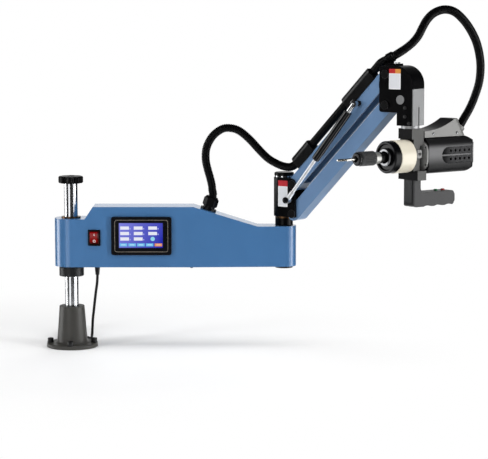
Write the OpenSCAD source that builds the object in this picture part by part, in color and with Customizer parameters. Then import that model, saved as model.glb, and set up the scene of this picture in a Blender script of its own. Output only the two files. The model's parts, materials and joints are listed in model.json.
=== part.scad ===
// Arm tapping machine: a swinging arm on a column, a parallel-link second arm and a
// motorised tapping head. The origin is the centre of the base flange's underside, on the
// column's axis. +X runs along the first arm, -Y is the operator's side and +Z is up.

/* [Base] */
// Diameter of the bolted flange
flange_d = 112; // [104:2:130]
// Thickness of the flange
flange_t = 9; // [7:1:14]
// Diameter of the stand where it meets the flange
stand_foot_d = 66; // [60:1:72]
// Diameter of the stand at its top
stand_top_d = 55; // [48:1:58]
// Height of the stand, flange included
stand_h = 91; // [70:1:100]
// Circle of the four bolts
bolt_circle_d = 96; // [90:1:98]
// Bolt holes, for M8 screws
bolt_hole_d = 9; // [6:0.5:11]

/* [Column] */
// Outside diameter of the column
column_d = 30; // [26:1:34]
// Wall of the column tube
column_wall = 5; // [3:0.5:8]
// Top of the column above the bench
column_top = 361; // [340:1:420]
// Diameter of the lobed knob on the column
knob_d = 54; // [44:1:70]
// Height of the knob
knob_h = 15; // [12:1:24]

/* [Height collar] */
// Underside of the first arm above the bench
arm_base = 180; // [170:1:200]
// Outside diameter of the clamped collar
collar_d = 54; // [48:1:62]
// Height of the collar
collar_h = 20; // [16:1:26]
// Thickness of the sliding washer on the collar
washer_t = 2.4; // [1.5:0.1:4]

/* [First arm] */
// Distance from the column's axis to the post's axis
arm_l = 466; // [440:1:520]
// Half the depth of the housing at the column
hub_r = 36; // [34:0.5:42]
// Half the depth of the housing at the post
end_r = 26.5; // [25.5:0.5:32]
// Height of the housing at the column
hub_h = 105; // [96:1:110]
// Height of the humped middle
hump_h = 132; // [125:1:150]
// Height of the housing at the post
end_h = 88.5; // [80:0.5:94]
// Wall of the housing
arm_wall = 4; // [3:0.5:5]
// Thickness of the bottom plate
plate_t = 3; // [2:0.5:4]

/* [Screen and switch] */
// Width of the screen's frame
bezel_w = 131; // [120:1:136]
// Height of the screen's frame
bezel_h = 83.5; // [76:0.5:88]
// How far the frame stands out of the housing
bezel_proud = 6; // [4:0.5:10]
// Width of the glass
display_w = 95; // [80:1:100]
// Height of the glass
display_h = 54; // [40:1:56]
// Width of the power switch's frame
switch_w = 27; // [22:1:30]
// Height of the power switch's frame
switch_h = 35; // [28:1:38]

/* [Swivel post] */
// Diameter of the post's shaft
post_shaft_d = 20; // [16:1:20]
// Outside diameter of the post's bearings
bearing_d = 42; // [38:1:44]
// Height of the post's bearings
bearing_h = 12; // [10:1:14]
// Diameter of the round post body
post_d = 45; // [42:1:48]
// Height of the fork block
fork_h = 84.5; // [80:0.5:92]
// Distance from the post's axis to the link pins
pivot_s = 37; // [36:0.5:42]

/* [Second arm] */
// Yaw of the second arm towards the operator
arm_yaw = 36; // [20:1:60]
// Slope of the two links
arm_lift = 46; // [30:1:56]
// Distance between the pins of a link
link_l = 338; // [320:1:360]
// Width of the links
link_w = 36; // [32:1:38]
// Depth of the upper link
upper_link_h = 28.6; // [26:0.2:29]
// Depth of the lower link
lower_link_h = 30.6; // [26:0.2:31]
// Height between the two links' pins
pin_rise = 64; // [62:0.5:68]
// Wall of the links
link_wall = 4; // [3:0.5:5]
// Diameter of the link pins
pin_d = 12; // [10:0.5:14]

/* [Gas spring] */
// Diameter of the cylinder
gas_cylinder_d = 17; // [16:0.5:21]
// Length of the cylinder
gas_cylinder_l = 132; // [110:1:150]
// Diameter of the rod
gas_rod_d = 8; // [6:0.5:9]
// Diameter of the ball studs
ball_d = 10; // [8:0.5:11]
// Place of the upper ball stud along the link
gas_ball_t = 245; // [235:1:255]

/* [End bracket] */
// Width of the bracket over its cheeks
bracket_w = 50; // [48:1:54]
// Height of the cheeks
cheek_h = 96.5; // [96:0.5:104]
// Distance from the link pins to the leg's axis
leg_s = 47; // [45:1:54]
// Length of the leg's side
leg_l = 36; // [34:1:38]
// How far the leg hangs below the cheeks
leg_drop = 27; // [20:1:36]
// Radius of the bracket's shoulder
shoulder_r = 40; // [30:1:44]

/* [Tapping head] */
// Angle between the second arm and the motor
head_yaw = 73; // [60:1:110]
// Thickness of the head block
block_t = 33; // [32:0.5:36]
// Width of the neck
neck_w = 42; // [38:1:46]
// Width of the block below the spindle
block_w = 60; // [56:1:62]
// Height of the neck's top above the spindle
neck_rise = 57; // [54:1:62]
// Depth of the block below the spindle
block_drop = 50; // [48:1:54]
// Diameter of the gear housing
gear_d = 69; // [64:0.5:72]
// Length of the gear housing
gear_l = 42; // [34:1:46]
// Diameter of the torque drum
drum_d = 67; // [60:0.5:68]
// Length of the torque drum
drum_l = 17; // [12:0.5:24]

/* [Motor cover] */
// Length of the motor cover
motor_l = 136; // [126:1:144]
// Width of the motor cover
motor_w = 69; // [66:1:74]
// Height of the motor cover
motor_h = 75.5; // [72:0.5:80]
// Wall of the motor cover
motor_wall = 4; // [3.5:0.25:5]
// Height of the cable box above the motor cover
cable_box_h = 37; // [30:1:42]

/* [Handle] */
// Thickness of the handle
handle_t = 32; // [28:1:36]
// Length of the grip
grip_l = 118; // [106:1:130]
// Height of the grip
grip_h = 30.5; // [27:0.5:33]

/* [Chuck and tap] */
// Diameter of the quick-change chuck
chuck_d = 28; // [26:0.5:32]
// Length of the chuck
chuck_l = 52; // [48:1:60]
// Diameter of the tap
tap_d = 5.6; // [4:0.2:8]
// How far the tap stands out of the chuck
tap_l = 49; // [40:1:56]

/* [Conduit and cord] */
// Outside diameter of the ribbed conduit
hose_d = 18; // [16:0.5:19]
// Bore of the ribbed conduit
hose_bore_d = 13; // [10:0.5:13.5]
// Diameter of the power cord
cord_d = 6; // [5:0.5:6]

/* [Hidden] */
$fn = 64;

// One overrun for every cut, one clearance for turning shafts and one for seated pieces
over = 1;
run = 0.05;
seat = 0.3;
// Clearance of a casting beside one that moves
side_gap = 0.4;
// Small chamfer on turned edges
edge = 1;

blue = [0.12, 0.27, 0.55];
black = [0.06, 0.06, 0.07];
iron = [0.25, 0.26, 0.28];
chrome = [0.82, 0.83, 0.85];
steel = [0.62, 0.63, 0.66];
bronze = [0.66, 0.47, 0.25];
cream = [0.86, 0.82, 0.72];
grey = [0.48, 0.48, 0.5];
red = [0.75, 0.05, 0.05];
dark_red = [0.5, 0.08, 0.08];
dark_green = [0.1, 0.35, 0.15];
display_blue = [0.35, 0.45, 0.85];

// Points on a circle's arc, from one angle to another
function arc(c, r, a, b, n) = [for (i = [0 : n]) c + r * [cos(a + (b - a) * i / n),
    sin(a + (b - a) * i / n)]];
function unit(v) = v / norm(v);
// An outline drawn in by e, with its points anticlockwise
function inset(p, e) = [
    for (i = [0 : len(p) - 1])
        let (
            a = p[(i + len(p) - 1) % len(p)],
            b = p[i],
            c = p[(i + 1) % len(p)],
            u = unit(b - a),
            v = unit(c - b),
            m = [-u.y - v.y, u.x + v.x]
        ) b + m * e / (1 + u * v)
];

// A square with round corners, from exact circles and squares
module round_box(w, h, r) {
    square([w - 2 * r, h], center = true);
    square([w, h - 2 * r], center = true);
    for (x = [-1, 1], y = [-1, 1]) translate([x * (w / 2 - r), y * (h / 2 - r)]) circle(r);
}

// A plate in the XZ plane, with its thickness along Y from y0 to y1
module side_plate(y0, y1) {
    translate([0, y1, 0]) rotate([90, 0, 0]) linear_extrude(y1 - y0) children();
}

// A turned piece on the X axis: its profile is [place along X, radius]
module turned(points) {
    rotate([0, 90, 0]) rotate_extrude() polygon([for (p = points) [p.y, p.x]]);
}

// A pin across Y with its heads
module cross_pin(d, l, head_d, head_h) {
    rotate([90, 0, 0]) {
        cylinder(d = d, h = l, center = true);
        for (s = [-1, 1]) translate([0, 0, s * (l - head_h) / 2])
            cylinder(d = head_d, h = head_h, center = true);
    }
}

// Base stand

stand_fillet_r = 7;
stand_lip = 2;
column_seat = 14;
column_r = column_d / 2;
column_bore_r = column_r + run;

module base_stand() {
    foot_r = stand_foot_d / 2;
    top_r = stand_top_d / 2;
    flange_r = flange_d / 2;
    color(iron) difference() {
        rotate_extrude() polygon(concat(
            [[0, 0], [flange_r - edge, 0], [flange_r, edge], [flange_r, flange_t - stand_lip],
                [flange_r - stand_lip, flange_t]],
            arc([foot_r + stand_fillet_r, flange_t + stand_fillet_r], stand_fillet_r, 270, 180, 6),
            [[top_r, stand_h - edge], [top_r - edge, stand_h], [0, stand_h]]
        ));
        translate([0, 0, column_seat]) cylinder(r = column_bore_r, h = stand_h);
        for (a = [0 : 90 : 270]) rotate(a) translate([bolt_circle_d / 2, 0, -over])
            cylinder(d = bolt_hole_d, h = flange_t + 2 * over);
    }
}

module column() {
    color(chrome) translate([0, 0, column_seat]) rotate_extrude() {
        l = column_top - column_seat;
        inner = column_r - column_wall;
        polygon([[inner, 0], [column_r - edge, 0], [column_r, edge], [column_r, l - edge],
            [column_r - edge, l], [inner, l]]);
    }
}

// Lobed knob, whose stud turns in the column's bore

lobe_count = 8;
lobe_r = 6;
knob_stud_l = 30;

module top_knob() {
    body_r = knob_d / 2 - lobe_r / 2;
    color(black) translate([0, 0, column_top + seat]) {
        difference() {
            linear_extrude(knob_h) difference() {
                union() {
                    circle(body_r);
                    for (i = [1 : lobe_count]) rotate(i * 360 / lobe_count)
                        translate([knob_d / 2 - lobe_r, 0]) circle(lobe_r);
                }
                for (i = [1 : lobe_count]) rotate((2 * i + 1) * 180 / lobe_count)
                    translate([knob_d / 2 + lobe_r / 3, 0]) circle(lobe_r);
            }
            rotate_extrude() polygon([[knob_d / 2 - edge * 2, knob_h + over],
                [knob_d / 2 - edge * 2, knob_h], [knob_d / 2 + over, knob_h - edge * 3], [knob_d,
                knob_h + over]]);
            rotate_extrude() polygon([[knob_d / 2 - edge * 2, -over], [knob_d / 2 - edge * 2, 0],
                [knob_d / 2 + over, edge * 3], [knob_d, -over]]);
            translate([0, 0, knob_h - edge]) cylinder(d = knob_d / 3, h = knob_h);
        }
        translate([0, 0, -knob_stud_l]) cylinder(r = column_r - column_wall - run,
            h = knob_stud_l + edge);
    }
}

// Split collar that carries the arm, with its clamp screw behind

collar_slot = 3;
clamp_screw_d = 5;
clamp_screw_l = 18;
clamp_head_d = 8.5;

module at_collar_screw(z0) {
    translate([0, collar_d / 2 - clamp_screw_d - edge, z0 + collar_h / 2]) rotate([0, 90, 0]) children();
}

module height_collar() {
    z0 = arm_base - washer_t - collar_h - seat;
    color(black) difference() {
        translate([0, 0, z0]) rotate_extrude() polygon([
            [column_bore_r, 0], [collar_d / 2 - edge, 0], [collar_d / 2, edge],
            [collar_d / 2, collar_h - edge], [collar_d / 2 - edge, collar_h], [column_bore_r, collar_h]
        ]);
        translate([-collar_slot / 2, 0, z0 - over]) cube([collar_slot, collar_d, collar_h + 2 * over]);
        at_collar_screw(z0) cylinder(d = clamp_screw_d + 2 * run, h = collar_d, center = true);
        at_collar_screw(z0) translate([0, 0, clamp_screw_l / 2])
            cylinder(d = clamp_head_d + 4 * run, h = collar_d);
    }
    color(steel) at_collar_screw(z0) {
        cylinder(d = clamp_screw_d, h = clamp_screw_l, center = true);
        translate([0, 0, clamp_screw_l / 2]) cylinder(d = clamp_head_d, h = clamp_screw_d);
    }
}

module slide_washer() {
    color(steel) translate([0, 0, arm_base - washer_t - seat / 2]) rotate_extrude()
        polygon([[column_bore_r, 0], [collar_d / 2 - stand_lip, 0],
            [collar_d / 2 - stand_lip, washer_t], [column_bore_r, washer_t]]);
}

// First arm: a cast housing that is open below, with a boss for the column and one for the post

step_foot_x = 32;
hump_start_x = 50;
hump_end_x = arm_l - 198;
slope_foot_x = arm_l - 58;
taper_x = arm_l - 202;
hub_boss_r = 25;
bush_wall = 3;
bush_l = 30;
bush_flange_d = 42;
bush_flange_t = 3;
bush_bore_r = column_r + run;
bush_r = column_r + bush_wall;
arm_side = [
    [-hub_r, 0], [arm_l + end_r, 0], [arm_l + end_r, end_h], [slope_foot_x, end_h],
    [hump_end_x, hump_h], [hump_start_x, hump_h], [step_foot_x, hub_h], [-hub_r, hub_h]
];
slope_angle = atan2(hump_h - end_h, slope_foot_x - hump_end_x);

// Plan outline of the housing, drawn in by e
module arm_plan(e) {
    r = hub_r - e;
    s = end_r - e;
    circle(r);
    translate([arm_l, 0]) circle(s);
    polygon([[0, -r], [taper_x, -r], [arm_l, -s], [arm_l, s], [taper_x, r], [0, r]]);
}

module arm_body(e) {
    intersection() {
        side_plate(-hub_r, hub_r) polygon(inset(arm_side, e));
        translate([0, 0, -over]) linear_extrude(hump_h + 2 * over) arm_plan(e);
    }
}

// Places of the fittings on the housing, from the column's axis and the arm's underside
screen_x = 155.5;
screen_z = 69.3;
display_dx = -1;
display_dz = 1.2;
switch_x = 53;
switch_z = 65;
window_lip = 4;
gland_x = hump_end_x + 32;
gland_thread_d = 22;
cord_x = 56;
cord_y = 6;
cord_gland_d = 14;
post_boss_r = 24.8;

module at_arm() { translate([0, 0, arm_base]) children(); }
module at_gland() {
    translate([gland_x, 0, arm_base + hump_h - (gland_x - hump_end_x) * tan(slope_angle)])
        rotate([0, slope_angle, 0]) children();
}

module arm_housing() {
    color(blue) difference() {
        at_arm() difference() {
            arm_body(0);
            difference() {
                union() {
                    arm_body(arm_wall);
                    translate([0, 0, -over]) linear_extrude(arm_wall + 2 * over) arm_plan(arm_wall);
                }
                cylinder(r = hub_boss_r, h = 3 * hump_h, center = true);
                translate([arm_l, 0, 0]) cylinder(r = post_boss_r, h = 3 * hump_h, center = true);
            }
            translate([0, 0, -over]) cylinder(r = bush_r + run, h = hub_h + 2 * over);
            translate([arm_l, 0, -over]) cylinder(d = post_shaft_d + 2 * window_lip,
                h = end_h + 2 * over);
            for (z = [-over, end_h - bearing_h]) translate([arm_l, 0, z])
                cylinder(d = bearing_d + 2 * run, h = bearing_h + over);
            translate([screen_x, -hub_r, screen_z])
                cube([bezel_w - 2 * window_lip, 3 * arm_wall, bezel_h - 2 * window_lip], center = true);
            translate([switch_x, -hub_r, switch_z])
                cube([switch_w - window_lip, 3 * arm_wall, switch_h - window_lip], center = true);
        }
        at_gland() cylinder(d = gland_thread_d + 2 * run, h = 4 * arm_wall, center = true);
    }
}

module bottom_plate() {
    color(blue) at_arm() difference() {
        linear_extrude(plate_t) arm_plan(arm_wall + seat);
        translate([0, 0, -over]) {
            cylinder(r = hub_boss_r + seat, h = plate_t + 2 * over);
            translate([arm_l, 0, 0]) cylinder(r = post_boss_r + seat, h = plate_t + 2 * over);
            translate([cord_x, cord_y, 0]) cylinder(d = cord_gland_d + 2 * run, h = plate_t + 2 * over);
        }
    }
}

module column_bushes() {
    color(bronze) at_arm() {
        rotate_extrude() polygon([[bush_bore_r, 0], [bush_r, 0], [bush_r, bush_l],
            [bush_bore_r, bush_l]]);
        translate([0, 0, hub_h]) rotate_extrude() polygon([
            [bush_bore_r, -bush_l], [bush_r, -bush_l], [bush_r, 0], [bush_flange_d / 2, 0],
            [bush_flange_d / 2, bush_flange_t], [bush_bore_r, bush_flange_t]
        ]);
    }
}

// Two shielded ball bearings, each with the groove between its rings
shield_groove = 0.6;
module arm_bearings() {
    r0 = post_shaft_d / 2 + run;
    r1 = bearing_d / 2;
    ring = (r1 - r0) / 4;
    color(steel) at_arm() for (z = [0, end_h - bearing_h]) translate([arm_l, 0, z]) rotate_extrude()
        difference() {
        polygon([[r0, 0], [r1, 0], [r1, bearing_h], [r0, bearing_h]]);
        for (y = [-over, bearing_h - shield_groove]) translate([r0 + ring, y])
            square([2 * ring, shield_groove + over]);
    }
}

// Power switch: a snap-in frame and its rocker

rocker_w = 19;
rocker_h = 27;
rocker_pivot = 3;
rocker_r = 13.5;
switch_proud = 2.5;
switch_body_l = 24;
rocker_tilt = 9;
rocker_pin_d = 3;

module at_switch() { translate([switch_x, -hub_r, arm_base + switch_z]) children(); }
module switch_frame() {
    color(black) at_switch() difference() {
        union() {
            side_plate(-switch_proud, 0) round_box(switch_w, switch_h, 2 * edge);
            side_plate(0, switch_body_l) square([switch_w - window_lip - seat,
                switch_h - window_lip - seat], center = true);
        }
        side_plate(-switch_proud - over, rocker_r + rocker_pivot + edge)
            square([rocker_w + 2 * side_gap, rocker_h + 2 * side_gap], center = true);
        translate([0, rocker_pivot, 0]) rotate([0, 90, 0])
            cylinder(d = rocker_pin_d + 2 * run, h = switch_w - window_lip - edge, center = true);
    }
}

module switch_rocker() {
    color(red) at_switch() translate([0, rocker_pivot, 0]) rotate([rocker_tilt, 0, 0]) {
        intersection() {
            rotate([0, 90, 0]) cylinder(r = rocker_r, h = rocker_w, center = true);
            difference() {
                translate([0, -rocker_r / 2, 0]) cube([rocker_w, rocker_r, rocker_h], center = true);
                translate([0, -3 * rocker_r, 0]) rotate([0, 90, 0])
                    cylinder(r = 3 * rocker_r - 2 * rocker_pivot, h = 2 * rocker_w, center = true);
            }
        }
        rotate([0, 90, 0]) cylinder(d = rocker_pin_d, h = rocker_w + 2 * edge, center = true);
    }
}

// Touch screen: frame with the module behind it, and the glass

bezel_r = 5;
glass_t = 2;
glass_sunk = 0.8;
module_depth = 30;
trim_w = 116;
trim_h = 70;
trim_line = 0.8;

module at_screen() { translate([screen_x, -hub_r, arm_base + screen_z]) children(); }
module screen_frame() {
    color(black) at_screen() difference() {
        union() {
            side_plate(-bezel_proud, 0) round_box(bezel_w, bezel_h, bezel_r);
            side_plate(0, module_depth) square([bezel_w - 2 * window_lip - seat,
                bezel_h - 2 * window_lip - seat], center = true);
        }
        translate([display_dx, 0, display_dz])
            side_plate(-bezel_proud - over, -bezel_proud + glass_t + glass_sunk)
            square([display_w + 2 * run, display_h + 2 * run], center = true);
        side_plate(-bezel_proud - over, -bezel_proud + trim_line / 2) difference() {
            round_box(trim_w, trim_h, bezel_r);
            round_box(trim_w - 2 * trim_line, trim_h - 2 * trim_line, bezel_r - trim_line);
        }
    }
}

module screen_glass() {
    color(display_blue) at_screen() translate([display_dx, 0, display_dz])
        side_plate(-bezel_proud + glass_sunk, -bezel_proud + glass_sunk + glass_t)
            square([display_w, display_h], center = true);
}

// Electrics inside the housing, standing on the bottom plate

drive_x = 236;
drive_size = [52, 34, 92];
supply_x = 88;
supply_size = [136, 30, 92];
fin_t = 2;
fin_h = 8;
fin_count = 6;

module servo_drive() {
    color(steel) at_arm() translate([drive_x, -drive_size.y / 2 + fin_h / 2, plate_t]) {
        cube(drive_size);
        for (i = [0 : fin_count - 1]) translate([i * (drive_size.x - fin_t) / (fin_count - 1),
            drive_size.y, 0]) cube([fin_t, fin_h, drive_size.z]);
    }
}

module power_supply() {
    slot_w = 3;
    slot_n = 10;
    pitch = supply_size.x / (slot_n + 1);
    color(grey) at_arm() translate([supply_x, seat, plate_t]) difference() {
        cube(supply_size);
        for (i = [1 : slot_n]) translate([i * pitch - slot_w / 2, -over, supply_size.z / 3])
            cube([slot_w, slot_w + over, supply_size.z / 2]);
    }
}

// Strain relief of the power cord, under the bottom plate

relief_l = 22;
relief_flange_d = 20;
relief_flange_t = 3;

module cord_gland() {
    r = cord_d / 2 + seat;
    color(black) translate([cord_x, cord_y, arm_base]) rotate_extrude() polygon([
        [r, -relief_l], [r + edge, -relief_l], [cord_gland_d / 2 - edge,
            -relief_flange_t], [relief_flange_d / 2, -relief_flange_t],
        [relief_flange_d / 2, -seat], [cord_gland_d / 2, -seat], [cord_gland_d / 2,
            plate_t + relief_flange_t], [r, plate_t + relief_flange_t]
    ]);
}

// Conduit gland on the slope of the housing: flange, neck and hexagon nut

gland_flange_d = 35;
gland_flange_t = 5;
gland_nut_start = 9;
gland_nut_end = 31;
gland_neck_d = 26;
gland_nut_af = 29;
gland_thread_l = 12;
// How deep a conduit's end goes into its fitting
hose_seat_l = 10;

module hose_gland() {
    color(black) at_gland() difference() {
        union() {
            cylinder(d = gland_flange_d, h = gland_flange_t);
            translate([0, 0, -gland_thread_l])
                cylinder(d = gland_thread_d, h = gland_thread_l + gland_nut_start);
            cylinder(d = gland_neck_d, h = gland_nut_end - edge);
            intersection() {
                translate([0, 0, gland_nut_start])
                    cylinder(d = gland_nut_af / cos(30), h = gland_nut_end - gland_nut_start, $fn = 6);
                rotate_extrude() polygon([
                    [0, 0], [gland_nut_af / 2, gland_nut_start], [gland_nut_af / 2 + 2 * edge,
                        gland_nut_start + 2 * edge],
                    [gland_nut_af / 2 + 2 * edge, gland_nut_end - 6 * edge], [hose_d / 2 + 3 * edge,
                        gland_nut_end], [0, gland_nut_end]
                ]);
            }
        }
        translate([0, 0, -gland_thread_l - over])
            cylinder(d = hose_bore_d, h = gland_thread_l + gland_nut_end + 2 * over);
        translate([0, 0, gland_nut_end - hose_seat_l])
            cylinder(d = hose_d + 2 * seat, h = hose_seat_l + over);
    }
}

// Swivel post, in a frame on the post's axis that is turned with the second arm

collar_gap = 0.5;
post_collar_d = 39;
post_collar_h = 16;
wear_ring_h = 5;
foot_disc_d = 40;
foot_disc_t = 4;
post_z = arm_base + end_h + collar_gap;
fork_z = post_z + post_collar_h + wear_ring_h;
fork_w = 48;
fork_reach = 8;
fork_corner_r = 14;
post_ring_h = 4;
post_cap_h = 7;
post_cap_d = 43;
low_pivot_z = fork_z + 7.5;
high_pivot_z = low_pivot_z + pin_rise;
core_flat = 18;

module at_post() { translate([arm_l, 0, 0]) rotate([0, 0, -arm_yaw]) children(); }
module at_low_pivot() { at_post() translate([pivot_s, 0, low_pivot_z]) children(); }
module at_high_pivot() { at_post() translate([pivot_s, 0, high_pivot_z]) children(); }

module swivel_shaft() {
    r = post_shaft_d / 2;
    z0 = arm_base - collar_gap - foot_disc_t;
    color(steel) at_post() translate([0, 0, z0]) rotate_extrude() polygon([
        [0, 0], [foot_disc_d / 2 - edge, 0], [foot_disc_d / 2, edge], [foot_disc_d / 2, foot_disc_t],
        [r, foot_disc_t], [r, fork_z + fork_h - z0], [0, fork_z + fork_h - z0]
    ]);
}

module post_ring_solid(z, d, h, bore) {
    at_post() translate([0, 0, z]) rotate_extrude() polygon([
        [bore / 2, 0], [d / 2 - edge / 2, 0], [d / 2, edge / 2], [d / 2,
            h - edge / 2], [d / 2 - edge / 2, h], [bore / 2, h]
    ]);
}

module post_collar() {
    color(black) post_ring_solid(post_z, post_collar_d, post_collar_h, post_shaft_d + 2 * run);
}

module wear_ring() {
    color(bronze) post_ring_solid(post_z + post_collar_h, post_collar_d, wear_ring_h,
        post_shaft_d + 2 * run);
}

module post_fork() {
    tip = pivot_s + fork_reach;
    slot = link_w + 2 * side_gap;
    color(black) at_post() translate([0, 0, fork_z]) difference() {
        union() {
            cylinder(d = post_d, h = fork_h);
            side_plate(-fork_w / 2, fork_w / 2) difference() {
                union() {
                    square([tip - fork_corner_r, fork_h]);
                    square([tip, fork_h - fork_corner_r]);
                    translate([tip - fork_corner_r, fork_h - fork_corner_r]) circle(fork_corner_r);
                }
            }
        }
        translate([core_flat, -slot / 2, -over]) cube([tip, slot, fork_h + 2 * over]);
        translate([0, 0, -over]) cylinder(d = post_shaft_d + 2 * run, h = fork_h + 2 * over);
        for (z = [low_pivot_z, high_pivot_z]) translate([pivot_s, 0, z - fork_z]) rotate([90, 0, 0])
            cylinder(d = pin_d + 2 * run, h = fork_w + 2 * over, center = true);
        at_stud_hole();
    }
}

module post_ring() {
    color(chrome) post_ring_solid(fork_z + fork_h, post_cap_d - edge, post_ring_h, post_shaft_d / 2);
}

module post_cap() {
    d = post_cap_d;
    h = post_cap_h;
    color(black) at_post() translate([0, 0, fork_z + fork_h + post_ring_h]) rotate_extrude()
        polygon(concat([[0, 0], [d / 2, 0]],
            arc([d / 2 - 3 * edge, h - 3 * edge], 3 * edge, 0, 90, 4), [[0, h]]));
}

pin_head_d = 18;
pin_head_h = 2;
fork_pin_l = fork_w + 2 * pin_head_h + seat;

module fork_pins() {
    color(steel) for (z = [low_pivot_z, high_pivot_z]) at_post() translate([pivot_s, 0, z])
        cross_pin(pin_d, fork_pin_l, pin_head_d, pin_head_h);
}

// Second arm: two channel links, open towards each other, that stay parallel

saddle_lift = 9;
hose_rise = hose_d / 2 + saddle_lift;
hose_n = -5.5;
saddle_wall = 5;
lower_saddle_t = [35, 92];
upper_saddle_t = [link_l - 120, link_l - 27];

module at_upper_link() { at_high_pivot() rotate([0, -arm_lift, 0]) children(); }
module at_lower_link() { at_low_pivot() rotate([0, -arm_lift, 0]) children(); }

// A link along X from pin to pin; the channel opens on the side that open_side names
module link(h, open_side) {
    boss = h / 2 + link_wall;
    difference() {
        side_plate(-link_w / 2, link_w / 2) {
            translate([0, -h / 2]) square([link_l, h]);
            for (x = [0, link_l]) translate([x, 0]) circle(h / 2);
        }
        translate([boss, -link_w / 2 + link_wall, open_side > 0 ? -h / 2 + link_wall : -h / 2 - over])
            cube([link_l - 2 * boss, link_w - 2 * link_wall, h - link_wall + over]);
        for (x = [0, link_l]) translate([x, 0, 0]) rotate([90, 0, 0])
            cylinder(d = pin_d + 2 * run, h = link_w + 2 * over, center = true);
    }
}

module upper_link() {
    color(blue) difference() {
        at_upper_link() link(upper_link_h, -1);
        at_upper_stud() cylinder(d = stud_d + 2 * run, h = 2 * link_w, center = true);
    }
}
module lower_link() { color(blue) at_lower_link() link(lower_link_h, 1); }

// A saddle over the conduit: a round cover on two legs, with its ends cut back
module saddle(t) {
    r = hose_d / 2 + seat;
    w = r + saddle_wall;
    top = upper_link_h / 2;
    axis = top + hose_rise;
    color(black) at_upper_link() translate([0, hose_n, 0]) difference() {
        translate([t[0], 0, 0]) rotate([90, 0, 90]) linear_extrude(t[1] - t[0]) difference() {
            union() {
                translate([0, axis]) circle(w);
                translate([-w, top]) square([2 * w, axis - top]);
            }
            translate([0, axis]) circle(r);
        }
        for (x = t) translate([x, 0, axis + w]) rotate([0, 45, 0])
            cube([saddle_wall, 4 * w, saddle_wall], center = true);
    }
}
module lower_saddle() { saddle(lower_saddle_t); }
module upper_saddle() { saddle(upper_saddle_t); }

// Gas spring on the operator's side, between a ball stud on the fork and one on the link

stud_d = 8;
spring_n = -36;
low_ball_s = 33;
low_ball_rise = 31;
high_ball_h = 6;
stud_base_d = 14;
stud_base_t = 3;
socket_d = 15;
socket_l = 23;
rod_fitting_d = 11;
gas_end_gap = 2.5;
// Shares of the ball's diameter and of the cylinder's length
ball_stem_share = 0.6;
socket_mouth_share = 0.86;
cylinder_bore_share = 0.8;

low_ball = [low_ball_s, low_pivot_z + low_ball_rise];
high_ball = [
    pivot_s + gas_ball_t * cos(arm_lift) - high_ball_h * sin(arm_lift),
    high_pivot_z + gas_ball_t * sin(arm_lift) + high_ball_h * cos(arm_lift)
];
gas_l = norm(high_ball - low_ball);
gas_slope = atan2(high_ball.y - low_ball.y, high_ball.x - low_ball.x);

module at_stud_hole() {
    translate([low_ball_s, 0, low_ball.y - fork_z]) rotate([90, 0, 0])
        cylinder(d = stud_d + 2 * run, h = fork_w);
}
module at_lower_stud() { at_post() translate([low_ball_s, 0, low_ball.y]) rotate([90, 0, 0]) children(); }
module at_upper_stud() { at_upper_link() translate([gas_ball_t, 0, high_ball_h]) rotate([90, 0, 0]) children(); }

// A stud along Z from the casting's face out to its ball
module ball_stud(face, inner) {
    translate([0, 0, inner]) cylinder(d = stud_d, h = face - inner);
    translate([0, 0, face]) cylinder(d = stud_base_d, h = stud_base_t, $fn = 6);
    translate([0, 0, face]) cylinder(d = ball_d * ball_stem_share, h = -spring_n - face);
    translate([0, 0, -spring_n]) sphere(d = ball_d);
}
module lower_ball_stud() { color(black) at_lower_stud() ball_stud(fork_w / 2,
    link_w / 2 + side_gap + edge); }
module upper_ball_stud() { color(black) at_upper_stud() ball_stud(link_w / 2, link_w / 2 - link_wall); }

module at_gas() { at_post() translate([low_ball.x, spring_n, low_ball.y]) rotate([0, -gas_slope, 0]) children(); }

// A socket round a ball stud at the origin, its neck along X; the stud comes in along -Y to +Y
module ball_socket(l, d) {
    gap = ball_d / 2 + run;
    difference() {
        union() {
            rotate([90, 0, 0]) cylinder(d = socket_d, h = ball_d, center = true);
            rotate([0, 90, 0]) cylinder(d = d, h = l);
        }
        sphere(gap);
        rotate([-90, 0, 0]) cylinder(d = ball_d * socket_mouth_share, h = ball_d);
    }
}

module gas_rod() {
    color(chrome) at_gas() {
        ball_socket(socket_l, rod_fitting_d);
        translate([socket_l - edge, 0, 0]) rotate([0, 90, 0])
            cylinder(d = gas_rod_d, h = gas_l - gas_cylinder_l - 2 * socket_l + gas_cylinder_l / 2);
    }
}

module gas_cylinder() {
    start = gas_l - socket_l - gas_cylinder_l;
    color(black) at_gas() difference() {
        union() {
            translate([start, 0, 0]) rotate([0, 90, 0])
                cylinder(d = gas_cylinder_d, h = gas_cylinder_l);
            translate([gas_l, 0, 0]) mirror([1, 0, 0]) ball_socket(socket_l + edge, rod_fitting_d);
        }
        translate([start - over, 0, 0]) rotate([0, 90, 0])
            cylinder(d = gas_rod_d + 2 * gas_end_gap, h = gas_cylinder_l * cylinder_bore_share);
    }
}

// End bracket: two cheeks over the links' ends and a leg that hangs outside them

cheek_back = 14;
cheek_top = cheek_h - 14.5;
cheek_corner_r = 6;
core_start = 19;
roof_t = 3;
leg_bore_d = 28;
leg_bush_l = 24;
plate_out = 2.5;
plate_w = 44;
plate_n = -1.5;
plate_h = 76;
plate_slot_w = 4;
plate_slot_h = 38;

module at_bracket() { at_low_pivot() translate([link_l * cos(arm_lift), 0, link_l * sin(arm_lift)]) children(); }
leg_x0 = leg_s - leg_l / 2;
leg_x1 = leg_s + leg_l / 2;
cheek_z0 = cheek_top - cheek_h;
leg_z0 = cheek_z0 - leg_drop;

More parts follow.
